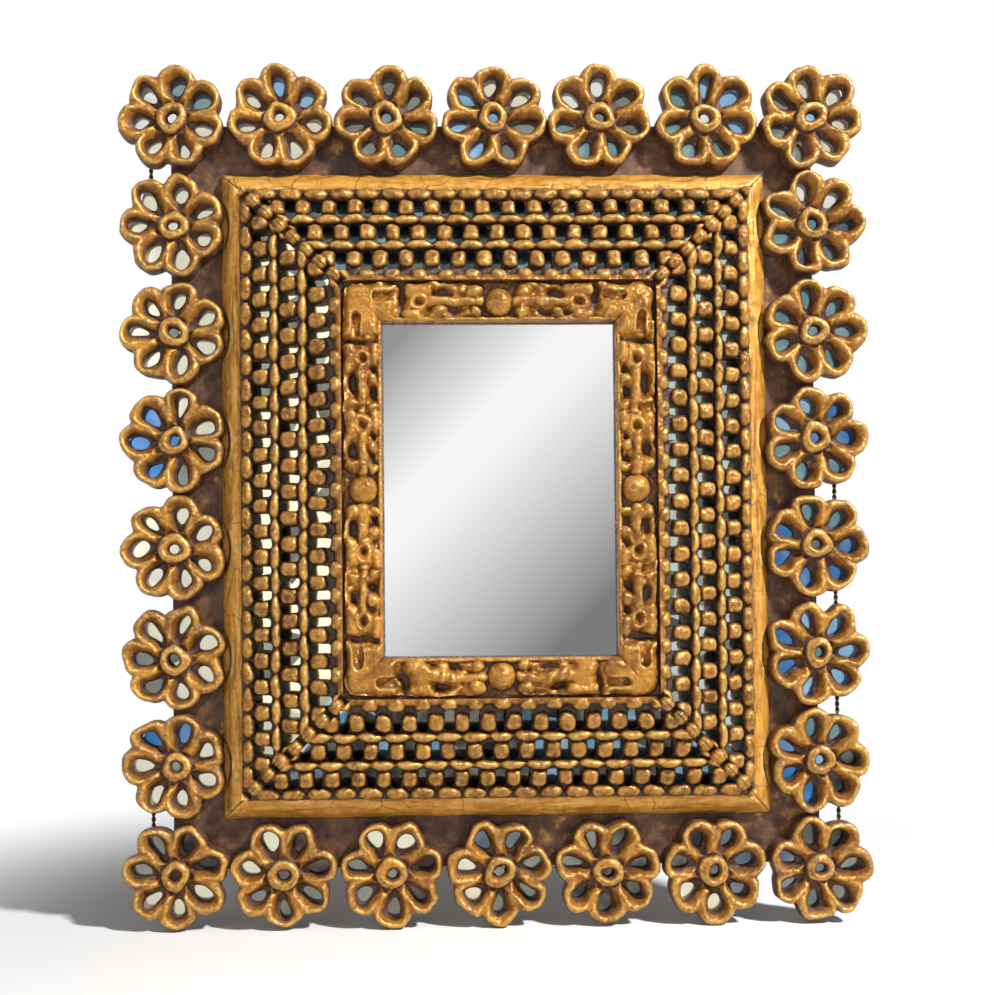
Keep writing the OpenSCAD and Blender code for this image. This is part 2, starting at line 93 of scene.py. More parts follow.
class Tree:
    def __init__(self, tree):
        self.tree = tree

    def node(self, kind, settings=None, sockets=None, out=0):
        made = self.tree.nodes.new(kind)
        for name, value in (settings or {}).items():
            if name == "stops":
                ramp = made.color_ramp
                while len(ramp.elements) < len(value):
                    ramp.elements.new(0.5)
                for element, (place, colour) in zip(ramp.elements, value):
                    element.position = place
                    element.color = colour
            else:
                setattr(made, name, value)
        for name, value in (sockets or {}).items():
            for one in value if isinstance(value, list) else [value]:
                if isinstance(one, Val):
                    self.tree.links.new(one.socket, made.inputs[name])
                else:
                    made.inputs[name].default_value = one
        return Val(self, made.outputs[out] if len(made.outputs) else made.inputs[0])

    def math(self, operation, *values):
        return self.node("ShaderNodeMath", {"operation": operation}, dict(enumerate(values)))

    def vector(self, operation, *values):
        return self.node("ShaderNodeVectorMath", {"operation": operation}, dict(enumerate(values)))

    def xyz(self, x, y, z):
        return self.node("ShaderNodeCombineXYZ", None, {0: x, 1: y, 2: z})

    def parts(self, vector):
        split = self.node("ShaderNodeSeparateXYZ", None, {0: vector})
        return split.out("X"), split.out("Y"), split.out("Z")

    def position(self):
        return self.parts(self.node("GeometryNodeInputPosition"))

    def attribute(self, name):
        return self.node("ShaderNodeAttribute", {"attribute_type": "GEOMETRY", "attribute_name": name})

    def step(self, value, low, high):
        # eases from 0 at low to 1 at high
        return self.node("ShaderNodeMapRange", {"interpolation_type": "SMOOTHSTEP"},
                         {"Value": value, "From Min": low, "From Max": high})

    def larger(self, *values):
        most = values[0]
        for v in values[1:]:
            most = self.math("MAXIMUM", most, v)
        return most

    def smaller(self, *values):
        least = values[0]
        for v in values[1:]:
            least = self.math("MINIMUM", least, v)
        return least

    def clip(self, value, low=0.0, high=1.0):
        return self.larger(self.smaller(value, high), low)

    def above(self, value):
        return self.larger(value, 0.0)

    def dome(self, value):
        # a rounded form: the root of a value that is 0 at its edge
        return self.above(value).math("SQRT")

    def merge(self, a, b, blend):
        # the higher of two forms, with a rounded seam
        return self.math("SMOOTH_MAX", a, b, blend)

    def length(self, x, y):
        return (x * x + y * y).math("SQRT")

    def fromMiddle(self, turn, pitch):
        # of forms a pitch apart: how far it is to the middle of this one
        return (turn.math("FRACT") - 0.5) * pitch

    def noise(self, where, scale, detail=2.0, roughness=0.5, out="Fac"):
        made = self.node("ShaderNodeTexNoise", {"noise_dimensions": "3D"},
                         {"Vector": where, "Scale": scale, "Detail": detail, "Roughness": roughness})
        return made.out(out)

    def chances(self, dimensions, *where):
        # three numbers from 0 to 1, drawn for each place
        made = self.node("ShaderNodeTexWhiteNoise", {"noise_dimensions": dimensions},
                         {"Vector": self.xyz(*where)})
        return self.parts(made.out("Color"))

    def drift(self, x, y, seed, scale, reachX, reachY):
        # the hand of the carver: everything is a little off its place
        shift = self.noise(self.xyz(x, y, seed), scale, 1.0, 0.5, "Color")
        wx, wy, wz = self.parts(self.vector("SUBTRACT", shift, (0.5, 0.5, 0.5)))
        return x + wx * reachX, y + wy * reachY

    def uneven(self, x, y, seed, scale, depth, detail=2.0):
        # the marks of tools and wear, up and down from the surface
        return (self.noise(self.xyz(x, y, seed), scale, detail) - 0.5) * depth

    def mix(self, share, a, b):
        return self.node("ShaderNodeMix", {"data_type": "RGBA"}, {0: share, 6: a, 7: b}, 2)

    def moved(self, geometry, **where):
        # where: a Position, or an Offset, and a Selection
        return self.node("GeometryNodeSetPosition", None, {"Geometry": geometry, **where})

    def joined(self, *geometries):
        return self.node("GeometryNodeJoinGeometry", None, {"Geometry": list(geometries)})

    def smoothed(self, geometry, crease=None):
        # shaded round, but for the edges that are sharper than the crease
        soft = self.node("GeometryNodeSetShadeSmooth", {"domain": "FACE"},
                         {"Geometry": geometry, "Shade Smooth": True})
        if crease is None:
            return soft
        sharp = self.node("GeometryNodeInputMeshEdgeAngle").out("Unsigned Angle") > crease
        return self.node("GeometryNodeSetShadeSmooth", {"domain": "EDGE"},
                         {"Geometry": soft, "Selection": sharp, "Shade Smooth": False})


def colour(r, g, b):
    # a screen colour from 0 to 255 as the linear colour that renders like it
    def one(c):
        c = c / 255
        return c / 12.92 if c <= 0.04045 else ((c + 0.055) / 1.055) ** 2.4
    return (one(r), one(g), one(b), 1.0)


def newShape(name, inputs):
    tree = bpy.data.node_groups.new(name, "GeometryNodeTree")
    for label, default in inputs.items():
        kind = "NodeSocketInt" if isinstance(default, int) else "NodeSocketFloat"
        tree.interface.new_socket(label, in_out="INPUT", socket_type=kind).default_value = default
    tree.interface.new_socket("Geometry", in_out="OUTPUT", socket_type="NodeSocketGeometry")
    g = Tree(tree)
    entry = tree.nodes.new("NodeGroupInput")
    given = {label: Val(g, entry.outputs[label]) for label in inputs}
    return g, given


def closeShape(g, geometry, material):
    whole = g.node("GeometryNodeRealizeInstances", None, {"Geometry": geometry})
    painted = g.node("GeometryNodeSetMaterial", None, {"Geometry": whole, "Material": material})
    g.node("NodeGroupOutput", None, {"Geometry": painted})
    return g.tree


carvePlan = {
    "slopeStep": 0.05,      # over which the slope of an outline is read
    "leastSlope": 0.3,
    "mostPull": 0.7,        # how far a point of the rim may move to reach its outline
    "mergeAt": 0.002,
    "crease": 0.9,          # edges sharper than this angle stay sharp
}


def carve(g, sizeX, sizeY, middleY, fine, outline, height, placed, deep, soften=9, bottom=0.0, shade=1.2):
    # a sheet of wood cut to an outline, with holes, and carved to a height over its back
    grid = g.node("GeometryNodeMeshGrid", None, {
        "Size X": sizeX, "Size Y": sizeY,
        "Vertices X": (sizeX / fine + 1.0).math("ROUND"), "Vertices Y": (sizeY / fine + 1.0).math("ROUND")})
    if middleY:
        grid = g.moved(grid, Offset=g.xyz(0.0, middleY, 0.0))
    x, y, z = g.position()
    cut = g.node("GeometryNodeDeleteGeometry", {"domain": "FACE"},
                 {"Geometry": grid, "Selection": outline(x, y) > 0.0})
    single = g.node("FunctionNodeCompare", {"data_type": "INT", "operation": "EQUAL"},
                    {2: g.node("GeometryNodeInputMeshEdgeNeighbors"), 3: 1})
    rim = g.node("GeometryNodeFieldOnDomain", {"data_type": "BOOLEAN", "domain": "EDGE"}, {0: single})
    # the points of the rim move onto the outline itself
    e, pull = carvePlan["slopeStep"], carvePlan["mostPull"]
    slopeX = (outline(x + e, y) - outline(x - e, y)) / (2 * e)
    slopeY = (outline(x, y + e) - outline(x, y - e)) / (2 * e)
    steep = g.larger(slopeX * slopeX + slopeY * slopeY, carvePlan["leastSlope"])
    way = g.clip(outline(x, y), -pull, pull) / steep
    snapped = g.moved(cut, Selection=rim, Offset=g.xyz(-(slopeX * way), -(slopeY * way), 0.0))
    raised = g.moved(snapped, Position=g.xyz(x, y, height(x, y)))
    level = g.node("GeometryNodeBlurAttribute", {"data_type": "FLOAT"}, {"Value": z, "Iterations": soften})

    def marked(geometry, value, **which):
        # keeps how far each point lies in a hollow, for the gilding
        return g.node("GeometryNodeStoreNamedAttribute", {"data_type": "FLOAT", "domain": "POINT"},
                      {"Geometry": geometry, "Name": "hollow", "Value": value, **which})

    walls = g.node("GeometryNodeExtrudeMesh", {"mode": "EDGES"}, {
        "Mesh": marked(raised, level - z + deep(y, z)), "Selection": rim, "Offset": g.xyz(0.0, 0.0, -1.0),
        "Offset Scale": 0.1})
    foot = walls.out("Top")
    sunk = g.moved(walls, Selection=foot, Position=g.xyz(x, y, bottom))
    rimLine = g.node("GeometryNodeMeshToCurve", None, {"Mesh": snapped, "Selection": rim})
    back = g.node("GeometryNodeFillCurve", {"mode": "TRIANGLES"}, {"Curve": rimLine})
    back = g.moved(back, Position=g.xyz(x, y, bottom))
    facing = g.parts(g.node("GeometryNodeInputNormal"))[2]
    back = g.node("GeometryNodeFlipFaces", None, {"Mesh": back, "Selection": facing > 0.0})
    # the feet of the walls are marked as hollow by shade, so the walls darken towards the back: painted shade
    both = g.joined(marked(sunk, shade, Selection=foot), back)
    closed = g.node("GeometryNodeMergeByDistance", None, {"Geometry": both, "Distance": carvePlan["mergeAt"]})
    return g.moved(g.smoothed(closed, carvePlan["crease"]), Position=placed(x, y, z))


def newSide(name, depth, fine, inputs):
    # one side of the frame, drawn with x along the side and y as its t
    return newShape(name, {"Half": sideHalf(0), "Reach": sideHalf(1), "Turn": 0.0, "Depth": depth,
                           "Fineness": fine, "Seed": 0, **inputs})


def mitre(given, x, y):
    # over 0 past the mitre of a side
    return (abs(x) - y - given["Half"]) * mitreShare


def carveSide(g, given, inner, outer, outline, height, deep, material, **under):
    c, s = given["Turn"].math("COSINE"), given["Turn"].math("SINE")

    def placed(x, y, z):
        out = y + given["Reach"]
        return g.xyz((x * c + out * s) * mm, -((z + given["Depth"]) * mm), (out * c - x * s) * mm)

    return closeShape(g, carve(g, (given["Half"] + outer) * 2.0, outer - inner, (inner + outer) / 2,
                               given["Fineness"], outline, height, placed, deep, 8, **under), material)


def newObject(name, points=(), faces=(), *materials):
    mesh = bpy.data.meshes.new(name)
    mesh.from_pydata(points, [], faces)
    for material in materials:
        mesh.materials.append(material)
    made = bpy.data.objects.new(name, mesh)
    bpy.context.scene.collection.objects.link(made)
    return made


def makePiece(name, tree, values, replaced):
    piece = newObject(name)
    shape = piece.modifiers.new("shape", "NODES")
    shape.node_group = tree
    for item in tree.interface.items_tree:
        if item.item_type == "SOCKET" and item.in_out == "INPUT" and item.name in values:
            shape[item.identifier] = values[item.name]
    graph = bpy.context.evaluated_depsgraph_get()
    grown = piece.evaluated_get(graph)
    mesh = bpy.data.meshes.new_from_object(grown, preserve_all_data_layers=True, depsgraph=graph)
    piece.modifiers.clear()
    piece.data = mesh
    mesh.name = name
    while len(mesh.materials) > 1 and mesh.materials[0] is None:
        mesh.materials.pop(index=0)
    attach(piece, "frame")
    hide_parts(replaced)


def makeSides(name, tree, node, own=lambda side: {}):
    for side in range(4):
        values = {"Half": sideHalf(side), "Reach": sideHalf(side + 1), "Turn": math.radians(90 * side),
                  "Seed": side + 1, **own(side)}
        makePiece(name + sideNames[side].capitalize(), tree, values, node + sideNames[side])


def newMaterial(name):
    material = bpy.data.materials.new(name)
    material.use_nodes = True
    material.node_tree.nodes.clear()
    m = Tree(material.node_tree)
    return material, m, m.node("ShaderNodeTexCoord").out("Object")


def endMaterial(m, shader):
    m.node("ShaderNodeOutputMaterial", None, {"Surface": shader})


def paint(m, base, metal, rough, relief, bumpDepth, strength):
    bump = m.node("ShaderNodeBump", None, {"Strength": strength, "Distance": bumpDepth, "Height": relief})
    endMaterial(m, m.node("ShaderNodeBsdfPrincipled", None, {
        "Base Color": base, "Metallic": metal, "Roughness": rough, "Normal": bump}))


def pastOpening(x, z):
    # how far a place on the object lies outside the opening, sideways and upright
    return abs(x) - plan["sightHalf"][0] * mm, abs(z) - plan["sightHalf"][1] * mm


def alongSides(x, z):
    # a place on the object as its run along its side of the frame and its place across it
    pastX, pastZ = pastOpening(x, z)
    upright = pastX > pastZ
    return x + (z - x) * upright, z + (x - z) * upright


def gilt(name, own):
    # water gilding over a brown bole that shows in the hollows and where it is rubbed; the hollows darken
    # with dirt and painted shade, the crests lighten with burnish and painted highlight
    look = {**giltLook, **own}
    material, m, place = newMaterial(name)
    hollow = m.attribute("hollow").out("Fac")
    broad = m.noise(place, look["broadScale"], 3.0, 0.6)
    patch = m.noise(place, look["patchScale"], 5.0, 0.66)
    fine = m.noise(place, look["fineScale"], 4.0, 0.62)
    dip = hollow / look["hollowDepth"] + (patch - 0.5) * look["patchiness"] + (broad - 0.5) * 0.9
    bare = m.step(dip, look["bareFrom"], look["bareFrom"] + 0.55)
    rub = m.step(patch * 0.7 + fine * 0.3, look["rubFrom"], look["rubFrom"] + 0.07) * look["rubbed"]
    bare = m.clip(bare + rub)
    # painted highlight, with burnish: the crests are lightened towards the pale gold
    high = m.step(hollow * -1.0 + (patch - 0.5) * 0.8 + (fine - 0.5) * 0.4, 0.0, look["highlightFullAt"])
    gold = m.mix(m.step(broad * 0.5 + patch * 0.5, 0.36, 0.62), look["goldDeep"], look["gold"])
    gold = m.mix(high * 0.8, gold, look["paleGoldAndHighlight"])
    gold = m.mix(m.step(fine, 0.56, 0.74) * 0.45, gold, look["glaze"])
    bole = m.mix(m.step(patch, 0.38, 0.66), look["boleDark"], look["bole"])
    if look["strokes"]:
        # brush strokes along each side of the frame, and gold that ends on the moulding's outer flank
        x, y, z = m.parts(place)
        run, cross = alongSides(x, z)
        stroke = m.noise(m.xyz(run * 22.0, y * 240.0, cross * 260.0), 1.6, 4.0, 0.6)
        gold = m.mix(m.step(stroke, 0.52, 0.68) * look["strokes"], gold, look["glaze"])
        gold = m.mix(m.step(stroke, 0.46, 0.34) * look["strokes"] * 0.6, gold, look["paleGoldAndHighlight"])
        patch = patch * 0.5 + stroke * 0.5
        outward = m.larger(*pastOpening(x, z)) + (stroke - 0.5) * 0.006 + (broad - 0.5) * 0.008
        bare = m.clip(bare + m.step(outward, look["goldEnds"], look["goldEnds"] + 0.004))
    surface = m.mix(bare, gold, bole)
    # dirt and painted shade: the deepest hollows darken towards the dark brown
    surface = m.mix(m.step(dip, look["dirtAndShadeFrom"], look["dirtAndShadeFrom"] + 1.6) * 0.8, surface, look["dirtAndShade"])
    if look["cracks"]:
        lines = m.node("ShaderNodeTexVoronoi", {"feature": "DISTANCE_TO_EDGE"},
                       {"Vector": m.vector("ADD", place, m.xyz(patch * 0.004, fine * 0.001, broad * 0.004)),
                        "Scale": look["crackScale"], "Randomness": 1.0})
        crack = (1.0 - m.step(lines, 0.0, 0.035)) * m.step(broad, 0.45, 0.6) * look["cracks"]
        surface = m.mix(crack, surface, look["boleDark"])
    rough = look["rough"] + (patch - 0.5) * 0.3 + (fine - 0.5) * 0.2 + bare * 0.2 - high * 0.1
    paint(m, surface, (1.0 - bare) * look["metal"], m.clip(rough, 0.16, 0.95), patch * 0.7 + fine * 0.3,
          look["bumpDepth"], 0.75)
    return material


giltLook = {
    "goldDeep": colour(128, 78, 22),
    "gold": colour(192, 132, 42),
    "paleGoldAndHighlight": colour(246, 208, 120),
    "glaze": colour(84, 48, 16),
    "bole": colour(106, 72, 52),
    "boleDark": colour(58, 35, 22),
    "dirtAndShade": colour(30, 18, 9),
    "broadScale": 38.0,
    "patchScale": 150.0,
    "fineScale": 850.0,
    "patchiness": 1.7,
    "hollowDepth": 1.0,     # a hollow of this depth counts as one
    "bareFrom": 0.30,       # from here down the bole shows
    "dirtAndShadeFrom": 1.1,        # and from here down it is darkened, by dirt and painted shade
    "highlightFullAt": 1.1,         # height over its surroundings at which the painted highlight is full
    "rubFrom": 0.55,        # a lower value rubs more of the gold away
    "rubbed": 0.5,
    "metal": 0.32,
    "rough": 0.32,
    "cracks": 0.0,
    "crackScale": 60.0,
    "strokes": 0.0,
    "goldEnds": 0.0865,     # distance from the opening at which the moulding's gold ends
    "bumpDepth": 0.0011,
}
flowerGilt = gilt("flowerGilt", {"dirtAndShadeFrom": 1.7, "rubFrom": 0.53, "rubbed": 0.75, "rough": 0.38})
# the lattice's gold is darker and its hollows darken sooner: painted shade of the deep openwork
latticeGilt = gilt("latticeGilt", {
    "gold": colour(174, 116, 36), "goldDeep": colour(112, 66, 18), "paleGoldAndHighlight": colour(234, 192, 106),
    "dirtAndShadeFrom": 0.85})
borderGilt = gilt("borderGilt", {"hollowDepth": 1.1, "patchiness": 1.5, "dirtAndShadeFrom": 1.7, "rubbed": 0.65})
mouldGilt = gilt("mouldGilt", {
    "gold": colour(220, 156, 56), "goldDeep": colour(186, 122, 36), "cracks": 0.7, "strokes": 0.6,
    "bareFrom": 0.9, "metal": 0.3, "rough": 0.44})
print("gilded finishes made")


flowerPlan = {
    "across": 7,            # flowers along the top, with both corners
    "down": 8,              # flowers down a side, with both corners
    "halfX": 171.0,         # from the middle of the mirror to the middles of the outer flowers
    "halfY": 201.0,
    "radius": 28.1,
    "petals": 7,
    "lobe": 10.6,           # radius of the round end of a petal
    "lobeBlend": 2.4,
    "disc": 15.0,           # radius of the wood that the petals grow from
    "height": 10.0,
    "rimRound": 3.0,
    "dishDepth": 7.2,       # hollow of a petal: a drop between a small and a large circle
    "dishSoft": 2.9,
    "dishNear": (11.0, 2.2),    # how far out a circle lies, and its radius
    "dishFar": (18.6, 4.7),
    "eyeL": 10.4,
    "eyeW": 6.6,
    "eyeAt": 18.0,
    "bossR": 8.2,
    "bossEye": 2.8,
    "ringR": 3.5,           # the rolled ring of the boss
    "ringLow": 5.4,
    "warp": 6.4,
    "dent": 2.4,
    "tool": 0.9,
    "goldOver": 8.0,        # under this height the bole shows through
    "fine": 0.5,            # distance between the points of the carving
    # turns away from square in degrees, clockwise from the top left
    "turns": [7, 0, 4, 0, 0, 0, -8, 1, 2, 1, 1, -2, 0, 9, -1, 0, -1, -1, -1, -5, -1, 2, -3, -2, -1, -1],
}
flowerCount = 2 * (flowerPlan["across"] + flowerPlan["down"]) - 4
# from the middle of one flower to the next, across and down
flowerPitch = (2 * flowerPlan["halfX"] / (flowerPlan["across"] - 1),
               2 * flowerPlan["halfY"] / (flowerPlan["down"] - 1))


def flowerSide(i):
    across, down = flowerPlan["across"], flowerPlan["down"]
    return 0 if i < across else 1 if i < across + down - 2 else 2 if i < 2 * across + down - 2 else 3


def flowerMiddle(i):
    across, down = flowerPlan["across"], flowerPlan["down"]
    hx, hy = flowerPlan["halfX"], flowerPlan["halfY"]
    px, py = flowerPitch
    side = flowerSide(i)
    if side == 0:
        return -hx + i * px, hy
    if side == 1:
        return hx, hy - (i - across + 1) * py
    if side == 2:
        return hx - (i - across - down + 2) * px, -hy
    return -hx, -hy + (i - 2 * across - down + 3) * py


def flowerTurn(i):
    return math.radians(-90 * flowerSide(i) - flowerPlan["turns"][i])


def flowerTree(material):
    p = flowerPlan
    g, given = newShape("carvedFlower", {
        "Radius": p["radius"], "Lobe": p["lobe"], "Height": p["height"], "Eye Length": p["eyeL"],
        "Eye Width": p["eyeW"], "Eye Place": p["eyeAt"], "Boss": p["bossR"], "Boss Eye": p["bossEye"],
        "Fineness": p["fine"], "Seed": 0, "Turn": 0.0, "Place X": 0.0, "Place Y": 0.0})
    petal = 2 * math.pi / p["petals"]

    def warped(x, y):
        return g.drift(x, y, given["Seed"] * 37.0, 0.062, p["warp"], p["warp"])

    def petalParts(x, y):
        # distance from the middle, angle from the petal's own middle, and which petal
        turn = g.math("ARCTAN2", x, y) / petal + 0.5
        return g.length(x, y), g.fromMiddle(turn, petal), turn.math("FLOOR")

    def lobes(r, off):
        middle = given["Radius"] - given["Lobe"]

        def lobe(angle):
            return g.length(r * angle.math("SINE"), r * angle.math("COSINE") - middle) - given["Lobe"]

        near, far = lobe(off), lobe(petal - abs(off))
        return g.smaller(g.math("SMOOTH_MIN", near, far, p["lobeBlend"]), r - p["disc"])

    def eye(x, y):
        # a drop, narrow towards the boss, a little different in each petal
        r, off, index = petalParts(x, y)
        a, b, c = g.chances("2D", index, given["Seed"], 0.0)
        off = off + (a - 0.5) * 0.10
        px = r * off.math("SINE")
        py = r * off.math("COSINE") - given["Eye Place"] - (b - 0.5) * 1.2
        long = given["Eye Length"] * (0.46 + b * 0.08)
        wide = given["Eye Width"] * (0.42 + c * 0.14) * (1.0 + py / given["Eye Length"] * 0.5)
        return (g.length(px / wide, py / long) - 1.0) * wide

    def outline(x, y):
        x, y = warped(x, y)
        r, off, index = petalParts(x, y)
        return g.larger(lobes(r, off), -eye(x, y), given["Boss Eye"] - r)

    def drop(px, py):
        # distance to the drop round the two circles of a petal's hollow, less than 0 inside it
        (nearAt, nearR), (farAt, farR) = p["dishNear"], p["dishFar"]
        slant = (nearR - farR) / (farAt - nearAt)
        flank = math.sqrt(1 - slant * slant)
        along = px * -slant + (py - nearAt) * flank
        beside = px * flank + (py - nearAt) * slant - nearR
        isFar = along > flank * (farAt - nearAt)
        isNear = along < 0.0
        farEnd, nearEnd = g.length(px, py - farAt) - farR, g.length(px, py - nearAt) - nearR
        return farEnd * isFar + nearEnd * isNear + beside * (1.0 - isFar - isNear)

    def height(x, y):
        x, y = warped(x, y)
        r, off, index = petalParts(x, y)
        inside = -lobes(r, off)
        curl = g.above(p["rimRound"] - inside)
        roll = given["Height"] - p["rimRound"] + g.dome(p["rimRound"] ** 2 - curl * curl)
        roll = roll - g.step(r, 22.0, 10.0) * 2.4
        dish = g.step(drop(abs(r * off.math("SINE")), r * off.math("COSINE")), p["dishSoft"], -p["dishSoft"])
        # a low valley runs out between the petals
        valley = g.step(abs(off), petal * 0.34, petal * 0.5) * g.step(r, 12.0, 19.0)
        carved = g.merge(roll - dish * p["dishDepth"] - valley * 0.9, 2.4, 0.8)
        # groove round the boss, and the boss with its rolled ring
        ramp = 4.6 + g.above(r - 8.9) * 1.1
        carved = g.math("SMOOTH_MIN", carved, ramp, 1.4)
        away = r - (given["Boss"] - p["ringR"])
        ring = p["ringLow"] + g.dome(p["ringR"] ** 2 - away * away)
        ring = ring - g.step(r, 5.0, 2.2) * 2.6
        boss = ring * g.step(r, given["Boss"] + 0.3, given["Boss"] - 0.5)
        dent = g.uneven(x, y, given["Seed"] * 11.0 + 5.0, 0.16, p["dent"])
        tool = g.uneven(x, y, given["Seed"] * 7.0 + 90.0, 0.55, p["tool"])
        return g.merge(carved, boss, 1.0) + dent + tool - 0.45

    def placed(x, y, z):
        c, s = given["Turn"].math("COSINE"), given["Turn"].math("SINE")
        farX, farY = plan["half"]
        return g.xyz(g.clip(x * c - y * s + given["Place X"], -farX, farX) * mm, (z + plan["scrapD"]) * -mm,
                     g.clip(x * s + y * c + given["Place Y"], -farY, farY) * mm)

    def deep(y, z):
        return g.above(p["goldOver"] - z) * 0.14

    size = given["Radius"] * 2.0 + 1.4
    carved = carve(g, size, size, 0.0, given["Fineness"], outline, height, placed, deep)
    return closeShape(g, carved, material)


flowerShape = flowerTree(flowerGilt)
for i in range(flowerCount):
    flowerX, flowerY = flowerMiddle(i)
    makePiece(f"carvedFlower{i + 1:02d}", flowerShape, {
        "Seed": i + 1, "Turn": flowerTurn(i), "Place X": flowerX, "Place Y": flowerY},
        f"flower_{i + 1:02d}")
print("flowers carved")


scrapPlan = {
    "reach": 26.6,
    "neck": 0.84,           # its reach between two petals, as a share
    "rough": 0.05,
    "inner": 1.3,           # gap beside the moulding
    "thick": 2.0,
    "nibble": 0.25,         # how unevenly the edge is broken
    "bevel": (0.35, 0.3),
    "undercut": 0.15,
    "chipR": 2.5,           # the chip of glass in the eye of the boss
    "chipLift": 4.0,
    "chipSteps": 48,
    "seed": 100,
    # the painted reflections of the room that the eyes of the top, right, bottom and left side are drawn from
    "reflectionKinds": ("cccbbwwtgd", "ssbbwttddl", "ggglltddoc", "ccccccgbsd"),
    "runs": (3, 2, 2, 1),   # how many eyes in a row show the same, and then the boss
    "shownSeed": 300,
    "reflectionColours": {
        "c": colour(240, 236, 210), "b": colour(142, 190, 226), "s": colour(56, 122, 186),
        "t": colour(110, 150, 154), "d": colour(34, 32, 32), "w": colour(250, 250, 244),
        "g": colour(128, 130, 122), "l": colour(84, 98, 112), "o": colour(62, 40, 28)},
}


def scrapShown(i):
    # the painted reflections in the eyes of a flower, in runs that start at any petal, and then in its boss
    draw = np.random.default_rng(scrapPlan["shownSeed"] + i)
    reflectionKinds = draw.choice(list(scrapPlan["reflectionKinds"][flowerSide(i)]), len(scrapPlan["runs"]))
    *eyes, boss = np.repeat(reflectionKinds, scrapPlan["runs"])
    first = int(draw.integers(len(eyes)))
    return eyes[first:] + eyes[:first] + [boss]


def scrapCorner(i, k):
    # a tip or a neck of a scrap: its reach and its angle, clockwise from up
    r = scrapPlan["reach"] * (1 - scrapPlan["rough"] * abs(math.sin(math.radians(97 * k + 41 * i))))
    return r * (scrapPlan["neck"] if k % 2 else 1.0), math.pi * k / flowerPlan["petals"] - flowerTurn(i)


def scrapReach(i, angle):
    # how far the roughly cut scrap of a flower reaches at an angle
    n = 2 * flowerPlan["petals"]
    k = int((angle + flowerTurn(i)) / (2 * math.pi / n) % n)
    (r1, a1), (r2, a2) = scrapCorner(i, k), scrapCorner(i, (k + 1) % n)
    x1, y1, x2, y2 = r1 * math.sin(a1), r1 * math.cos(a1), r2 * math.sin(a2), r2 * math.cos(a2)
    dx, dy = math.sin(angle), math.cos(angle)
    reach = (x1 * (y2 - y1) - y1 * (x2 - x1)) / (dx * (y2 - y1) - dy * (x2 - x1))
    # it is cut straight beside the moulding
    axis = flowerSide(i) + 1
    middle = flowerMiddle(i)[axis % 2]
    inward = -math.copysign((dx, dy)[axis % 2], middle * (dx, dy)[axis % 2])
    room = abs(middle) - sideHalf(axis) - plan["mouldOut"] - scrapPlan["inner"]
    return min(reach, room / inward) if inward > 0 else reach


def mirrorScraps(side, front, back):
    p = scrapPlan
    points, faces, reflectionTints, behind = [], [], [], []
    low, high = plan["baseD"], plan["baseD"] + p["thick"]
    petals = flowerPlan["petals"]
    for i in (i for i in range(flowerCount) if flowerSide(i) == side):
        fx, fy = flowerMiddle(i)
        first = -flowerTurn(i)
        # the scrap has a point wherever its colour, its edge or its chip turns
        cuts = [first + (k - 0.5) * 2 * math.pi / petals for k in range(petals)]
        corners = [scrapCorner(i, k)[1] for k in range(2 * petals)]
        chips = [math.radians(360 / p["chipSteps"] * k + 3 * (i % 2)) for k in range(p["chipSteps"])]
        angles = sorted({round(a % (2 * math.pi), 5) for a in cuts + corners + chips})
        rng = np.random.default_rng(p["seed"] + i)
        start, n = len(points), len(angles)
        for a in angles:
            rim = scrapReach(i, a) - p["nibble"] * rng.random()
            rings = ((p["chipR"], high + p["chipLift"]), (p["chipR"], high), (rim - p["bevel"][0], high),
                     (rim, high - p["bevel"][1]), (rim - p["undercut"], low), (p["chipR"], low))
            points += [((fx + r * math.sin(a)) * mm, -d * mm, (fy + r * math.cos(a)) * mm) for r, d in rings]
        points += [(fx * mm, -d * mm, fy * mm) for d in (high + p["chipLift"], low)]
        glass = scrapShown(i)
        for k in range(n):
            a, b = start + 6 * k, start + 6 * ((k + 1) % n)
            middle = angles[k] + ((angles[(k + 1) % n] - angles[k]) % (2 * math.pi)) / 2
            sector = int(math.floor((middle - first) * petals / (2 * math.pi) + 0.5)) % petals
            for j in range(5):
                faces.append((b + j, b + j + 1, a + j + 1, a + j))
                reflectionTints.append(glass[sector] if j else glass[petals])
                behind.append(int(j == 4))
            faces.append((start + 6 * n, b, a))
            faces.append((start + 6 * n + 1, a + 5, b + 5))
            reflectionTints += [glass[petals]] * 2
            behind += [0, 1]
    piece = newObject("mirrorScraps" + sideNames[side].capitalize(), points, faces, front, back)
    # the scrap's colour is a painted reflection of the room, kept for each corner
    paintedReflection = piece.data.color_attributes.new("glass", "FLOAT_COLOR", "CORNER")
    values = [p["reflectionColours"][t] for face, t in zip(faces, reflectionTints) for corner in face]
    paintedReflection.data.foreach_set("color", np.array(values, dtype=np.float32).ravel())
    piece.data.polygons.foreach_set("material_index", behind)
    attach(piece, "frame")
    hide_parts("flower_mirrors_" + sideNames[side])


def oldGlass(name, paintedReflection, metal, rough):
    # silvered glass with the room it reflects painted unevenly into its colour, as a painted reflection made
    # from the place on the object
    material, m, place = newMaterial(name)
    cloud = m.noise(place, 60.0, 2.0, 0.5)
    worn = m.step(m.noise(place, 700.0, 3.0, 0.6), 0.68, 0.78)
    shade = m.mix(m.step(cloud, 0.35, 0.75) * 0.25, paintedReflection(m, place), colour(214, 218, 206))
    shade = m.mix(m.step(cloud, 0.42, 0.2) * 0.4, shade, colour(52, 58, 60))
    shade = m.mix(worn * 0.5, shade, colour(40, 34, 28))
    paint(m, shade, metal, rough + worn * 0.3, cloud, 0.001, 0.12)
    return material


def scrapPaintedReflection(m, place):
    # the painted reflection of each eye
    return m.attribute("glass")


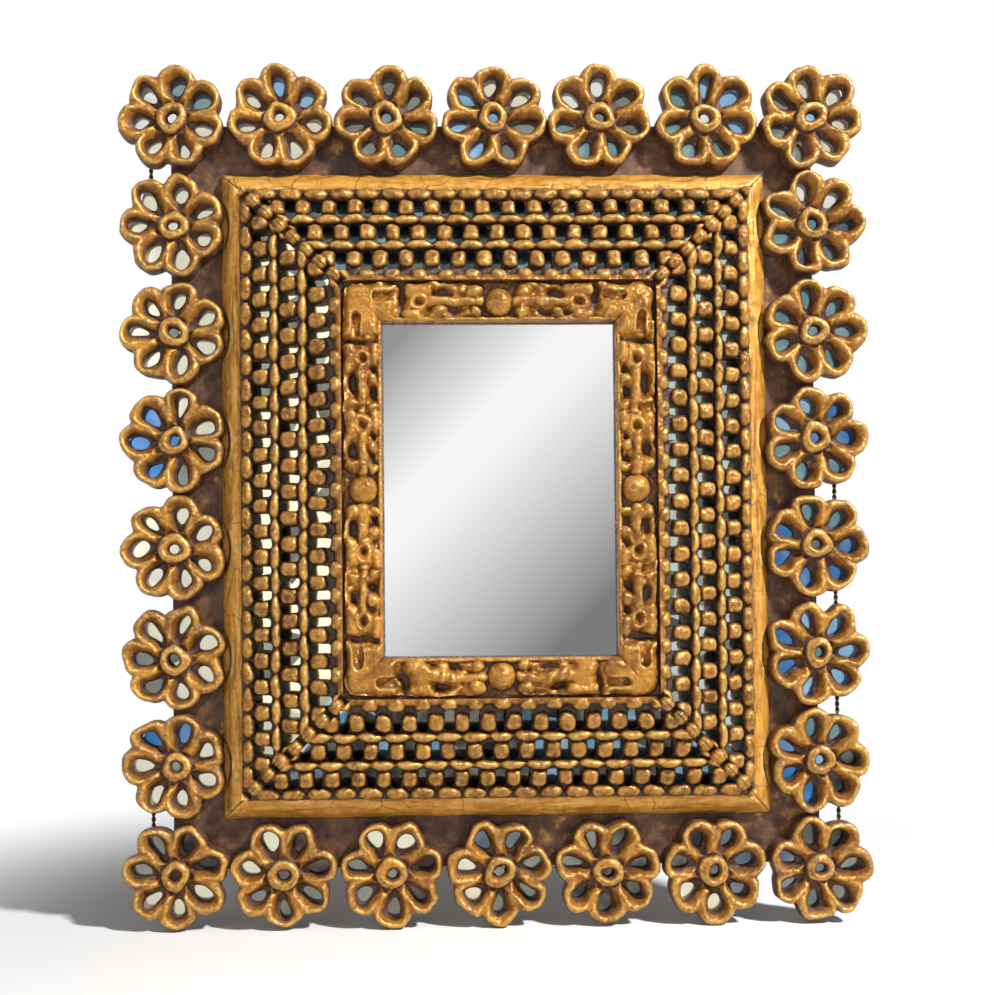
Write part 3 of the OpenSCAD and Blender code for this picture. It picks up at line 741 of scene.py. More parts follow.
def backPaint():
    # the dull paint over the silver on the backs of the scraps
    material, m, place = newMaterial("backPaint")
    cloud = m.noise(place, 90.0, 4.0, 0.6)
    speck = m.noise(place, 900.0, 3.0, 0.6)
    shade = m.mix(m.step(cloud, 0.35, 0.65), colour(96, 84, 72), colour(128, 116, 102))
    shade = m.mix(m.step(speck, 0.6, 0.7) * 0.6, shade, colour(58, 50, 42))
    paint(m, shade, 0.0, 0.6 + speck * 0.3, cloud * 0.5 + speck * 0.5, 0.0004, 0.4)
    return material


scrapGlass = oldGlass("scrapGlass", scrapPaintedReflection, 0.68, 0.10)
scrapBack = backPaint()
for side in range(4):
    mirrorScraps(side, scrapGlass, scrapBack)
print("mirror scraps cut")


# In the tables of the carving, halfX and halfU are half a form's size along its side and up the slope.
latticePlan = {
    "cell": 13.5,
    "windowW": 5.2,
    "windowL": 10.8,
    "windowRound": 1.8,
    "rowPitch": 16.2,
    "firstRow": 13.4,
    "firstLonger": 0.8,     # the openings of the first row reach in to the beads
    "ground": -1.7,         # depth of the ground that the forms rise from
    "post": {"halfX": 4.3, "halfU": (5.3, 5.3, 5.0), "rise": 4.4, "more": 1.5},
    "lump": {"halfX": 6.9, "halfU": 3.0, "rise": 6.2, "bow": 0.7},
    "rod": {"halfU": 1.5, "rise": 2.6},
    "bead": {"u": 3.2, "halfX": 4.6, "halfU": 4.0, "rise": 6.2},
    "roll": {"u": 0.6, "halfU": 3.4, "rise": 4.0},
    "bump": {"u": 54.3, "halfX": 6.4, "halfU": 4.0, "rise": 5.4},
    "ball": {"radius": 4.5, "step": 10.2, "rise": 6.2, "crack": 0.4},
    "mitreWood": 3.0,       # no opening comes nearer to the mitre
    "dent": 3.2,
    "tool": 1.3,
    "fine": 0.55,
}


def latticeTree(material):
    p = latticePlan
    g, given = newSide("carvedLattice", 0.0, p["fine"], {
        "Cell": p["cell"], "Window Width": p["windowW"], "Window Length": p["windowL"],
        "Row Pitch": p["rowPitch"], "First Row": p["firstRow"]})
    slope = math.atan2(plan["slopeRise"], plan["latticeW"])
    inner, outer = plan["borderW"], plan["mouldIn"]

    def warped(x, y):
        return g.drift(x, y, given["Seed"] * 53.0, 0.10, 2.6, 2.2)

    def turnAt(x, phase):
        return x / given["Cell"] + (0.5 - phase)

    def fold(x, phase):
        # how far x is from the middle of its cell
        return g.fromMiddle(turnAt(x, phase), given["Cell"])

    def luck(x, phase, row):
        # two chances for each place of a row
        return g.chances("3D", turnAt(x, phase).math("FLOOR"), given["Seed"], row)[:2]

    def rowAt(row):
        return given["First Row"] + given["Row Pitch"] * row

    def window(x, u, row):
        longer = p["firstLonger"] if row == 0 else 0.0
        phase = 0.5 * (row % 2)
        a, b = luck(x, phase, row)
        dx = abs(fold(x, phase) + (a - 0.5) * 0.8) + (b - 0.3) * 0.7
        du = abs(u - rowAt(row) + longer) - longer + (a - 0.4) * 1.2
        rounded = p["windowRound"]
        qx = dx - given["Window Width"] * 0.5 + rounded
        qy = du - given["Window Length"] * 0.5 + rounded
        return g.length(g.above(qx), g.above(qy)) + g.smaller(g.larger(qx, qy), 0.0) - rounded

    def outline(x, y):
        edge = g.larger(mitre(given, x, y) + 0.1, inner - y, y - outer)
        wx, wy = warped(x, y)
        u = (wy - inner) / math.cos(slope)
        holes = g.smaller(window(wx, u, 0), window(wx, u, 1), window(wx, u, 2))
        holes = g.larger(holes, mitre(given, x, y) + p["mitreWood"])
        return g.larger(edge, -holes)

    def height(x, y):
        face = plan["faceLow"] + (outer - y) * math.tan(slope)
        past = mitre(given, x, y)
        along = (abs(x) + y - given["Half"]) * mitreShare - inner * math.sqrt(2)
        x, y = warped(x, y)
        u = (y - inner) / math.cos(slope)
        ground = p["ground"]
        reliefs = []
        # posts between the openings, each a rounded block
        post = p["post"]
        for row in range(3):
            phase = 0.5 * ((row + 1) % 2)
            dx, du = abs(fold(x, phase)) / post["halfX"], abs(u - rowAt(row)) / post["halfU"][row]
            knob = g.above(1.0 - dx ** 2.5 - du ** 3.0) ** 0.5
            reliefs.append(knob * (post["rise"] + luck(x, phase, row + 7)[0] * post["more"]) + ground)
        # garlands between the rows: a thin rod with a long lump over each opening
        lump, rod = p["lump"], p["rod"]
        for row, phase in ((0.5, 0.0), (1.5, 0.5)):
            dx, du = abs(fold(x, phase)) / lump["halfX"], u - rowAt(row)
            bow = du - (1.0 - dx * dx) * lump["bow"] + 0.4
            reliefs.append(g.dome(1.0 - dx ** 2.4 - (bow / lump["halfU"]) ** 2) * lump["rise"] + ground)
            reliefs.append(g.dome(1.0 - (du / rod["halfU"]) ** 2) * rod["rise"] + ground)
        # beads on a roll beside the border, and bumps beside the moulding
        bead, roll, bump = p["bead"], p["roll"], p["bump"]
        dx, du = fold(x, 0.0) / bead["halfX"], (u - bead["u"]) / bead["halfU"]
        reliefs.append(g.dome(1.0 - dx * dx - du * du) * bead["rise"] + ground)
        reliefs.append(g.dome(1.0 - ((u - roll["u"]) / roll["halfU"]) ** 2) * roll["rise"] + ground)
        dx, du = fold(x, 0.0) / bump["halfX"], (u - bump["u"]) / bump["halfU"]
        reliefs.append(g.dome(1.0 - abs(dx) ** 2.4 - du * du) * bump["rise"] + ground)
        relief = reliefs[0]
        for one in reliefs[1:]:
            relief = g.merge(relief, one, 0.8)
        # a row of balls along the mitre, split by its crack
        balls = p["ball"]
        relief = ground + (relief - ground) * g.step(past, -1.2, -3.6)
        away = g.fromMiddle(along / balls["step"], balls["step"]) / balls["radius"]
        off = (past + 0.3) / balls["radius"]
        ball = g.dome(1.0 - away * away - off * off) * balls["rise"] + ground
        relief = g.merge(relief, ball - g.step(past, -0.5, 0.0) * balls["crack"], 0.5)
        dent = g.uneven(x, y, given["Seed"] * 13.0 + 3.0, 0.12, p["dent"])
        tool = g.uneven(x, y, given["Seed"] * 17.0 + 60.0, 0.5, p["tool"])
        return face + relief + dent + tool - 0.4

    def deep(y, z):
        face = plan["faceLow"] + (outer - y) * math.tan(slope)
        return g.above(face + 1.1 - z) * 0.48

    # the back follows the mirror strips under the lattice, which are 2 mm thick
    under = plan["slopeLow"] + 2.0 / math.cos(slope) + 0.05
    y = g.position()[1]
    return carveSide(g, given, inner, outer, outline, height, deep, material,
                     bottom=under + (outer - y) * math.tan(slope), shade=2.8)


makeSides("carvedLattice", latticeTree(latticeGilt), "lattice_")
print("lattice carved")


# t is the place of a form from the opening out. Its at, start and end lie along the side. They are measured
# from the middle of a scroll, except that the lumps at the end of the ridge are measured from that end, the
# fillet from the middle of the side and the cup from the corner of the opening.
borderPlan = {
    "ball": {"t": 9.9, "radius": 7.7, "top": 10.9},
    "body": 5.4,            # height of the wood that the forms are carved from
    "edge": 2.4,
    "top": 8.3,
    "gouge": 9.0,
    "firstScroll": 18.4,    # from the opening's corner back to the first scroll
    "sideScroll": 33.0,     # from the middle to the second scroll of the long sides
    "noScroll": -500.0,     # the same for the short sides, which have none
    "scroll": {"t": 10.4, "radius": 6.6, "rise": 0.6},
    "eye": {"at": -0.4, "t": 10.2, "long": 3.4, "wide": 2.9, "depth": 5.0},
    "ridge": {"end": -3.0, "half": 3.3},
    "outerLeaf": {"start": -6.0, "end": 4.0, "t": 16.4, "half": 4.0, "rise": 0.2},
    "innerLeaf": {"start": 0.0, "end": 5.0, "t": 3.8, "half": 3.2, "rise": -0.2},
    "innerLump": {"at": -11.0, "t": 5.2, "long": 4.2, "wide": 3.6, "rise": 0.3},
    "endLumps": [{"at": 3.0, "t": 15.4, "long": 5.2, "wide": 4.6, "rise": 0.2},
                 {"at": 2.0, "t": 4.6, "long": 3.6, "wide": 3.6, "rise": 0.0}],
    "hollows": [{"at": -12.5, "t": 14.8, "long": 6.8, "wide": 3.0, "depth": 5.0},
                {"at": -18.2, "t": 5.0, "long": 5.0, "wide": 3.0, "depth": 3.4},
                {"at": -5.4, "t": 4.6, "long": 2.8, "wide": 2.2, "depth": 3.0}],
    "break": {"at": 8.6, "t": 13.5, "long": 2.6, "wide": 7.0, "depth": 2.6},
    "boldLeaf": {"x": 35.0, "t": 8.4, "flat": 10.0, "slant": 0.26, "half": 5.2, "rise": 1.6},
    "fillet": {"start": -1.0, "end": 500.0, "t": 1.3, "half": 1.7, "top": 6.2},
    "corner": {"middle": 12.8, "round": 7.2, "back": 7.8, "soft": 5.4, "rise": 0.6},
    "cup": {"at": 2.0, "flat": 4.6, "t": 13.2, "half": 2.9, "depth": 4.4},
    "dent": 2.0,
    "tool": 0.9,
    "goldOver": 4.4,
    "fine": 0.45,
}


def borderTree(material):
    p = borderPlan
    g, given = newSide("carvedBorder", plan["seatD"], p["fine"], {
        "Knot": p["noScroll"], "Bold": 0.0, "Ball Radius": p["ball"]["radius"]})
    wide, top, base = plan["borderW"], p["top"], p["edge"] - 1.0

    def outline(x, y):
        wave = g.noise(g.xyz(x, given["Seed"] * 9.0, 0.0), 0.14, 2.0) - 0.5
        return g.larger(mitre(given, x, y) + 0.06, 0.25 - y + wave * 0.5, y - wide + 0.15 + wave * 0.5)

    def swell(away, low, high):
        # a rounded form: away is 0 on its middle and 1 at its edge
        return low + (high - low) * g.dome(1.0 - away * away)

    def bar(x, y, start, end, t, half, high):
        off = g.larger(start - x, x - end, 0.0)
        return swell(g.length(off, y - t) / half, base, high)

    def leaf(x, y, knot, row):
        return bar(x, y, knot + row["start"], knot + row["end"], row["t"], row["half"], top + row["rise"])

    def lump(x, y, start, row):
        return swell(g.length((x - (start + row["at"])) / row["long"], (y - row["t"]) / row["wide"]), base,
                     top + row["rise"])

    def dig(x, y, start, row):
        # a hollow with soft flanks
        away = g.length((x - (start + row["at"])) / row["long"], (y - row["t"]) / row["wide"])
        return g.step(away, 1.25, 0.1) * row["depth"]

    def height(x0, y0):
        wx, y = g.drift(x0, y0, given["Seed"] * 31.0, 0.10, 5.0, 3.4)
        x = abs(wx)
        back = given["Half"] - x
        # the wood fills the side, but for the ground round the ball and before the corner
        block = p["corner"]
        across, out = -back - block["middle"], y - block["middle"]
        corner = g.length(g.above(across), g.above(out))
        full = g.step(y, 0.4, 3.4) * g.step(y, 21.6, 19.4) * g.step(corner, 7.7, 6.7)
        sunk = g.larger(g.step(x, 12.5, 8.6), g.step(abs(back - 10.4), 3.4, 0.0) * 0.7)
        gouged = g.uneven(x0 * 0.8, y0, given["Seed"] * 41.0, 0.17, p["gouge"], 1.0)
        carved = p["edge"] + full * (1.0 - sunk * 0.8) * (p["body"] - p["edge"] + gouged)
        forms, hollows = [], []
        scroll, ridge = p["scroll"], p["ridge"]
        for knot, last in ((given["Half"] - p["firstScroll"], given["Knot"] + 7.6), (given["Knot"], 0.0)):
            near = g.larger(last, 9.8)
            r = g.length(x - knot, (y - scroll["t"]) * 0.9)
            forms.append(swell(r / scroll["radius"], base, top + scroll["rise"]))
            # a ridge runs from the scroll, with a full leaf outside it and lumps inside it
            forms.append(bar(x, y, near, knot + ridge["end"], scroll["t"], ridge["half"], top))
            forms.append(leaf(x, y, knot, p["outerLeaf"]))
            forms.append(lump(x, y, knot, p["innerLump"]))
            forms += [lump(x, y, near, row) for row in p["endLumps"]]
            forms.append(leaf(x, y, knot, p["innerLeaf"]))
            hollows += [dig(x, y, knot, row) for row in p["hollows"]]
            hollows.append(dig(x, y, knot, p["eye"]) * (1.0 - given["Bold"]))
            hollows.append(dig(x, y, knot, p["break"]))
        # on the bottom side a thick leaf lies across, with gouge marks
        bold = p["boldLeaf"]
        off = g.above(abs(x - bold["x"]) - bold["flat"])
        away = g.length(off, (y - bold["t"] - (bold["x"] - x) * bold["slant"]) * 0.97) / bold["half"]
        marks = (x * 1.25).math("COSINE") * g.step(x, 40.0, 32.0) * 0.6
        forms.append(swell(away, base, top + bold["rise"] + marks) * given["Bold"])
        for one in forms:
            carved = g.merge(carved, one, 2.2)
        for one in hollows:
            carved = carved - one
        carved = g.merge(carved, 1.0, 0.8)
        fillet = p["fillet"]
        lip = bar(x, y0, fillet["start"], fillet["end"], fillet["t"], fillet["half"], fillet["top"])
        carved = g.merge(carved, lip, 0.8)
        # leaf block over the corner, rounded at its edges, with a cup in each arm
        inside = g.larger(corner + g.smaller(g.larger(across, out), 0.0) - block["round"], 0.2 - y,
                          back - block["back"])
        rounded = g.clip(inside / -block["soft"])
        raised = base + (rounded * (2.0 - rounded)).math("SQRT") * (top + block["rise"] - base)
        cup = p["cup"]
        hollow = g.length(g.above(cup["at"] - back - cup["flat"]), y - cup["t"]) / cup["half"]
        carved = g.merge(carved, raised - g.step(hollow, 1.1, 0.45) * cup["depth"], 1.0)
        ball = g.length(x0, y0 - p["ball"]["t"]) / given["Ball Radius"]
        carved = g.larger(carved, swell(ball, 1.0, p["ball"]["top"]) - g.step(ball, 0.95, 1.0) * 3.0)
        dent = g.uneven(x0, y0, given["Seed"] * 19.0 + 3.0, 0.17, p["dent"])
        tool = g.uneven(x0, y0, given["Seed"] * 23.0 + 60.0, 0.6, p["tool"])
        return g.clip(carved + dent + tool - 0.2, 0.6, p["ball"]["top"])

    def deep(y, z):
        return g.above(p["goldOver"] - z) * 0.46

    return carveSide(g, given, 0.0, wide, outline, height, deep, material)


makeSides("carvedBorder", borderTree(borderGilt), "inner_border_", lambda side: {
    "Knot": borderPlan["sideScroll" if side % 2 else "noScroll"], "Bold": float(side == 2)})
print("inner border carved")


mouldPlan = {
    "flat": 1.6,            # its flat top beside the lattice
    "fall": 9.4,            # from there out to its foot
    "height": 10.2,
    "foot": 1.5,
    "edgeWave": 3.2,
    "room": 29.0,           # round the flowers that lie over its foot
    "lowFoot": 1.8,         # its height under their petals
    # the row of flowers from the side's line, for the top and bottom and for the left and right
    "flowerOut": (flowerPlan["halfY"] - sideHalf(1), flowerPlan["halfX"] - sideHalf(0)),
    "dent": 2.2,
    "stroke": 1.6,
    "fine": 0.8,
}


def mouldTree(material):
    p = mouldPlan
    g, given = newSide("gildedMoulding", plan["baseD"], p["fine"], {
        "Height": p["height"], "Flower Pitch": flowerPitch[0], "Flower Phase": 0.0,
        "Flower Out": p["flowerOut"][0]})
    inner, outer = plan["mouldIn"] + 0.3, plan["mouldOut"]

    def outline(x, y):
        wave = g.noise(g.xyz(x, given["Seed"] * 9.0, 0.0), 0.075, 3.0, 0.6) - 0.5
        edge = g.smaller(outer - 0.9 + wave * p["edgeWave"], outer - 0.05)
        return g.larger(mitre(given, x, y) + 0.2, inner - y, y - edge)

    def height(x, y):
        away = g.above((y - inner - p["flat"]) / p["fall"])
        roll = g.above(1.0 - away ** 1.5) ** 0.8
        dent = g.uneven(x, y, given["Seed"] * 19.0 + 3.0, 0.06, p["dent"])
        stroke = g.uneven(x * 0.18, y, given["Seed"] * 23.0 + 60.0, 0.55, p["stroke"], 3.0)
        chip = g.step(g.noise(g.xyz(x, y, given["Seed"] * 29.0 + 9.0), 0.2, 2.0), 0.63, 0.72)
        split = g.step(mitre(given, x, y), -0.9, -0.1)
        full = p["foot"] + roll * (given["Height"] - p["foot"]) + dent + stroke
        full = full - chip * 0.5 - split * 0.8 - 0.3
        turn = x / given["Flower Pitch"] + 0.5 + given["Flower Phase"]
        petals = g.length(g.fromMiddle(turn, given["Flower Pitch"]), y - given["Flower Out"])
        return g.smaller(full, p["lowFoot"] + g.above(petals - p["room"]) * 5.0)

    def deep(y, z):
        return g.above(p["lowFoot"] - z) * 0.35

    return carveSide(g, given, inner, outer, outline, height, deep, material)


makeSides("gildedMoulding", mouldTree(mouldGilt), "moulding_", lambda side: {
    "Flower Pitch": flowerPitch[side % 2], "Flower Phase": 0.5 * (side % 2),
    "Flower Out": mouldPlan["flowerOut"][side % 2]})
print("moulding run")


backPlan = {
    "wires": [9, 10, 11, 12, 19, 25],   # flowers after which a tie wire is left
    "wireOut": 13.0,        # from the middle of its flowers
    "wireD": 16.6,
    "wireL": 34.0,
    "strandR": 0.6,
    "twists": 5.0,
    "nailOut": 37.0,        # from the opening
    "nailAlong": 8.0,       # the outer nails of a row lie this far past the opening's corner
    "nailHeadR": 2.0,
    "nailHeadT": 0.8,
    "nailHeadD": 0.3,
    "nailR": 0.8,
    "nailTip": 0.15,
    "nailL": 12.0,
}


def wireTree(material):
    p = backPlan
    g, given = newShape("twistedWire", {
        "Length": p["wireL"], "Strand": p["strandR"], "Twists": p["twists"], "Depth": p["wireD"],
        "Place X": 0.0, "Place Y": 0.0})
    path = g.node("GeometryNodeCurvePrimitiveLine", None, {"Start": (0.0, 0.0, 0.0), "End": (0.0, 0.0, 1.0)})
    path = g.node("GeometryNodeResampleCurve", None, {"Curve": path, "Count": 61})
    along = g.node("GeometryNodeSplineParameter").out("Factor")
    profile = g.node("GeometryNodeCurvePrimitiveCircle", None, {"Resolution": 8, "Radius": given["Strand"]})
    strands = []
    for phase in (0.0, math.pi):
        turn = along * given["Twists"] * (2 * math.pi) + phase
        away = given["Strand"] * 0.96
        strand = g.moved(path, Position=g.xyz(turn.math("COSINE") * away, turn.math("SINE") * away,
                                              (along - 0.5) * (given["Length"] - given["Strand"] * 2.0)))
        strands.append(g.node("GeometryNodeCurveToMesh", None,
                              {"Curve": strand, "Profile Curve": profile, "Fill Caps": True}))
    x, y, z = g.position()
    stood = g.moved(g.joined(*strands), Position=g.xyz(
        (x + given["Place X"]) * mm, (y + given["Depth"]) * -mm, (z + given["Place Y"]) * mm))
    turned = g.node("GeometryNodeFlipFaces", None, {"Mesh": stood})
    return closeShape(g, g.smoothed(turned), material)


def nailTree(material):
    p = backPlan
    g, given = newShape("panelNails", {
        "Head Radius": p["nailHeadR"], "Head Thickness": p["nailHeadT"], "Head Depth": p["nailHeadD"],
        "Shank": p["nailR"], "Length": p["nailL"], "Out": p["nailOut"], "Along": p["nailAlong"], "Seed": 0})
    thick = given["Head Thickness"]

    def lifted(geometry, by):
        return g.node("GeometryNodeTransform", None,
                      {"Geometry": geometry, "Translation": g.xyz(0.0, 0.0, by)})

    # one nail, its head towards -z, hammered into a low crown
    shank = g.node("GeometryNodeMeshCone", None, {
        "Vertices": 12, "Side Segments": 4, "Radius Top": p["nailTip"], "Radius Bottom": given["Shank"],
        "Depth": given["Length"]})
    shank = lifted(shank, thick)
    head = g.node("GeometryNodeMeshCylinder", None, {
        "Vertices": 20, "Side Segments": 2, "Fill Segments": 4, "Radius": given["Head Radius"],
        "Depth": thick})
    x, y, z = g.position()
    r = g.length(x, y) / given["Head Radius"]
    crown = g.smaller(z, 0.0) / thick * 2.0
    hammered = (g.noise(g.xyz(x, y, z), 0.7, 1.0) - 0.5) * 0.3
    head = g.moved(head, Offset=g.xyz(0.0, 0.0, crown * (r * r * -0.5 - hammered) * thick))
    head = lifted(head, thick * 0.5)
    # three nails along each side of the panel
    rows = []
    for side in range(4):
        along, out = given["Along"] + sideHalf(side), given["Out"] + sideHalf(side + 1)
        row = g.node("GeometryNodeMeshLine", None, {
            "Count": 3, "Start Location": g.xyz(-along, out, given["Head Depth"]),
            "Offset": g.xyz(along, 0.0, 0.0)})
        rows.append(g.node("GeometryNodeTransform", None, {
            "Geometry": row, "Rotation": (0.0, 0.0, -math.pi / 2 * side)}))
    chance = g.node("FunctionNodeRandomValue", {"data_type": "FLOAT_VECTOR"}, {
        "Min": (0.0, 0.0, 0.0), "Max": (0.0, 0.0, 6.28), "Seed": given["Seed"]})
    nails = g.node("GeometryNodeInstanceOnPoints", None, {
        "Points": g.joined(*rows), "Instance": g.joined(shank, head), "Rotation": chance})
    nails = g.node("GeometryNodeRealizeInstances", None, {"Geometry": nails})
    stood = g.moved(nails, Position=g.xyz(x * mm, z * -mm, y * mm))
    return closeShape(g, g.smoothed(stood, 0.7), material)


def plainMetal(name, tone, dark, rough, spots):
    # old metal with darker spots and dull scratches
    material, m, place = newMaterial(name)
    cloud = m.noise(place, 120.0, 4.0, 0.6)
    fine = m.noise(place, 1500.0, 3.0, 0.6)
    relief = cloud * 0.6 + fine * 0.4
    worn = m.step(relief, 0.62 - spots * 0.2, 0.72 - spots * 0.2)
    paint(m, m.mix(worn, tone, dark), 1.0 - worn * 0.6, rough + worn * 0.35, relief, 0.0003, 0.4)
    return material


wireMetal = plainMetal("oldWire", colour(92, 88, 66), colour(44, 42, 30), 0.5, 0.6)
ironMetal = plainMetal("rustyIron", colour(120, 114, 106), colour(74, 48, 34), 0.55, 0.7)
brassMetal = plainMetal("oldBrass", colour(178, 150, 92), colour(98, 78, 46), 0.34, 0.3)
steelMetal = plainMetal("dullSteel", colour(150, 148, 142), colour(92, 84, 74), 0.38, 0.3)
wireShape = wireTree(wireMetal)
for count, i in enumerate(backPlan["wires"], 1):
    (x1, y1), (x2, y2) = flowerMiddle(i), flowerMiddle((i + 1) % flowerCount)
    ends = {"Place X": x1 + math.copysign(backPlan["wireOut"], x1), "Place Y": (y1 + y2) / 2}
    makePiece(f"tieWire{count}", wireShape, ends, "tie_wires")
makePiece("panelNails", nailTree(ironMetal), {"Seed": 7}, "back_panel_nails")
print("wires and nails made")


def wood(name, pale, dark, upright=True, rough=0.62, dust=0.35, bole=None):
    # sawn board: its grain runs upright, or else with each side of the frame
    material, m, place = newMaterial(name)
    x, y, z = m.parts(place)
    run, cross = (z, x) if upright else alongSides(x, z)
    grain = m.noise(m.xyz(run * 7.0, y * 60.0, cross * 60.0), 3.2, 5.0, 0.62)
    fibre = m.noise(m.xyz(run * 30.0, y * 600.0, cross * 600.0), 2.0, 3.0, 0.6)
    cloud = m.noise(place, 22.0, 4.0, 0.6)
    shade = m.mix(m.step(grain, 0.3, 0.7), dark, pale)
    shade = m.mix(m.step(fibre, 0.55, 0.75) * 0.3, shade, dark)
    shade = m.mix(m.step(cloud, 0.45, 0.75) * dust, shade, colour(60, 44, 32))
    metal = 0.0
    if bole:
        # on the front brown bole, rubbed, with specks of the old gold
        patch = m.noise(place, 130.0, 5.0, 0.65)
        broad = m.noise(place, 26.0, 3.0, 0.55)
        front = m.step(y + (patch - 0.5) * 0.006, -0.0105, -0.0145)
        primed = m.mix(m.step(patch, 0.3, 0.72), bole["dark"], bole["warm"])
        primed = m.mix(m.step(fibre, 0.5, 0.75) * 0.4, primed, bole["dark"])
        gold = patch * 0.6 + broad * 0.4 + (fibre - 0.5) * 0.12
        gold = m.step(gold, bole["goldFrom"], bole["goldFrom"] + 0.07)
        shade = m.mix(front, shade, m.mix(gold * 0.8, primed, bole["gold"]))
        metal, rough = gold * front * 0.5, rough - gold * 0.2
    paint(m, shade, metal, rough, grain * 0.5 + fibre * 0.35 + cloud * 0.3, 0.0009, 0.6)
    return material


boleLook = {
    "warm": colour(124, 84, 54),
    "dark": colour(52, 32, 20),
    "gold": colour(176, 124, 60),
    "goldFrom": 0.55,       # a lower value leaves more of the gold
}
boleShelf = wood("boleShelf", colour(132, 98, 66), colour(80, 56, 36), False, 0.6, bole=boleLook)
coreWood = wood("coreWood", colour(168, 128, 82), colour(116, 82, 48), False)
backingWood = wood("backingWood", colour(150, 112, 72), colour(96, 66, 40))
panelWood = wood("panelWood", colour(146, 112, 76), colour(98, 70, 44), dust=0.5)


def stripPaintedReflection(m, place):
    # painted reflection: each strip's colour is painted as the part of the room it would show: white left and
    # right, teal above, dark below
    x, y, z = m.parts(place)
    pastX, pastZ = pastOpening(x, z)
    sides = m.mix(x > 0.0, colour(206, 202, 172), colour(190, 204, 198))
    ends = m.mix(z > 0.0, colour(34, 28, 24), colour(44, 68, 74))
    cell = m.node("ShaderNodeTexVoronoi", {"feature": "F1"}, {"Vector": place, "Scale": 70.0}).out("Color")
    chance = m.parts(cell)[0]
    ends = m.mix(m.step(chance, 0.80, 0.86) * 0.7, ends, colour(110, 156, 186))
    sides = m.mix(m.step(chance, 0.30, 0.36) * m.step(chance, 0.66, 0.60) * 0.9, sides, colour(52, 54, 48))
    shade = m.mix(pastX > pastZ, ends, sides)
    nearMitre = m.step(abs(pastX - pastZ), 0.0075, 0.0045) * (chance > 0.45)
    return m.mix(nearMitre * 0.9, shade, m.mix(chance > 0.75, colour(112, 172, 220), colour(224, 222, 196)))


def plateGlass():
    # the centre plate: a true mirror, its silver a little worn at the rim
    material, m, place = newMaterial("plateGlass")
    x, y, z = m.parts(place)
    pastX, pastZ = pastOpening(x, z)
    rim = m.smaller(-pastX, -pastZ)
    cloud = m.noise(place, 60.0, 4.0, 0.6)
    fine = m.noise(place, 900.0, 3.0, 0.6)
    worn = m.step(rim + (cloud - 0.5) * 0.0006, 0.0008, 0.0003) * m.step(fine, 0.2, 0.5)
    shade = m.mix(worn * 0.8, colour(250, 251, 250), colour(70, 62, 52))
    paint(m, shade, 1.0, 0.03 + worn * 0.3, m.noise(place, 9.0, 1.0, 0.5), 0.0006, 0.06)
    return material


stripGlass = oldGlass("stripGlass", stripPaintedReflection, 0.92, 0.05)
nodeLooks = {
    "base_rail": boleShelf, "core": coreWood, "lattice_mirrors": stripGlass, "centre_mirror": plateGlass(),
    "mirror_backing": backingWood, "glazing_sprigs": ironMetal, "back_panel": panelWood,
    "hanger_strap": brassMetal, "hanger_ring": brassMetal, "hanger_screws": steelMetal}
for name, node in cadNodes.items():
    for start, look in nodeLooks.items():
        if name.startswith(start) and name != "back_panel_nails":
            node.data.materials.clear()
            node.data.materials.append(look)
print("finishes laid on the frame's own pieces")


stagePlan = {
    "floorZ": -0.2300,
    "floorR": 3.0,
    "floorTone": 0.93,
    "floorNear": 0.20,      # from here out the floor fades into the white round it
    "floorFar": 0.50,
    "fill": 0.17,
    "keyPlace": (0.95, -0.85, 1.05),
    "keySize": 0.16,
    "keyPower": 40.0,
    "sidePlace": (-0.9, -1.1, 0.2),
    "sideSize": 1.2,
    "sidePower": 3.0,
    "cardY": -1.5,
    "cardX": (-0.25, 0.55),
    "cardZ": (-0.30, 0.62),
    # how bright the card behind the camera is, along a slant line
    "cardStops": [(-0.43, 150), (-0.17, 250), (-0.09, 250), (0.35, 125)],
}
white = (1.0, 1.0, 1.0, 1.0)


def seenRays(tree):
    ray = tree.node("ShaderNodeLightPath")
    return tree.larger(ray.out("Is Camera Ray"), ray.out("Is Glossy Ray"), ray.out("Is Transmission Ray"))


def makeFloor():
    material, m, place = newMaterial("paleFloor")
    x, y, z = m.parts(place)
    far = m.step(m.length(x, y), stagePlan["floorNear"], stagePlan["floorFar"])
    tone = stagePlan["floorTone"]
    shade = m.mix(m.noise(place, 40.0, 3.0) * 0.2, (tone, tone, tone, 1.0),
                  (tone * 0.98, tone * 0.98, tone * 0.97, 1.0))
    dull = m.node("ShaderNodeBsdfDiffuse", None, {"Color": shade})
    glow = m.node("ShaderNodeEmission", None, {"Color": white, "Strength": 1.0})
    endMaterial(m, m.node("ShaderNodeMixShader", None, {0: far * seenRays(m), 1: dull, 2: glow}))
    n, r, z = 96, stagePlan["floorR"], stagePlan["floorZ"]
    points = [(r * math.cos(2 * math.pi * k / n), r * math.sin(2 * math.pi * k / n), z) for k in range(n)]
    newObject("paleFloor", points, [tuple(range(n))], material)


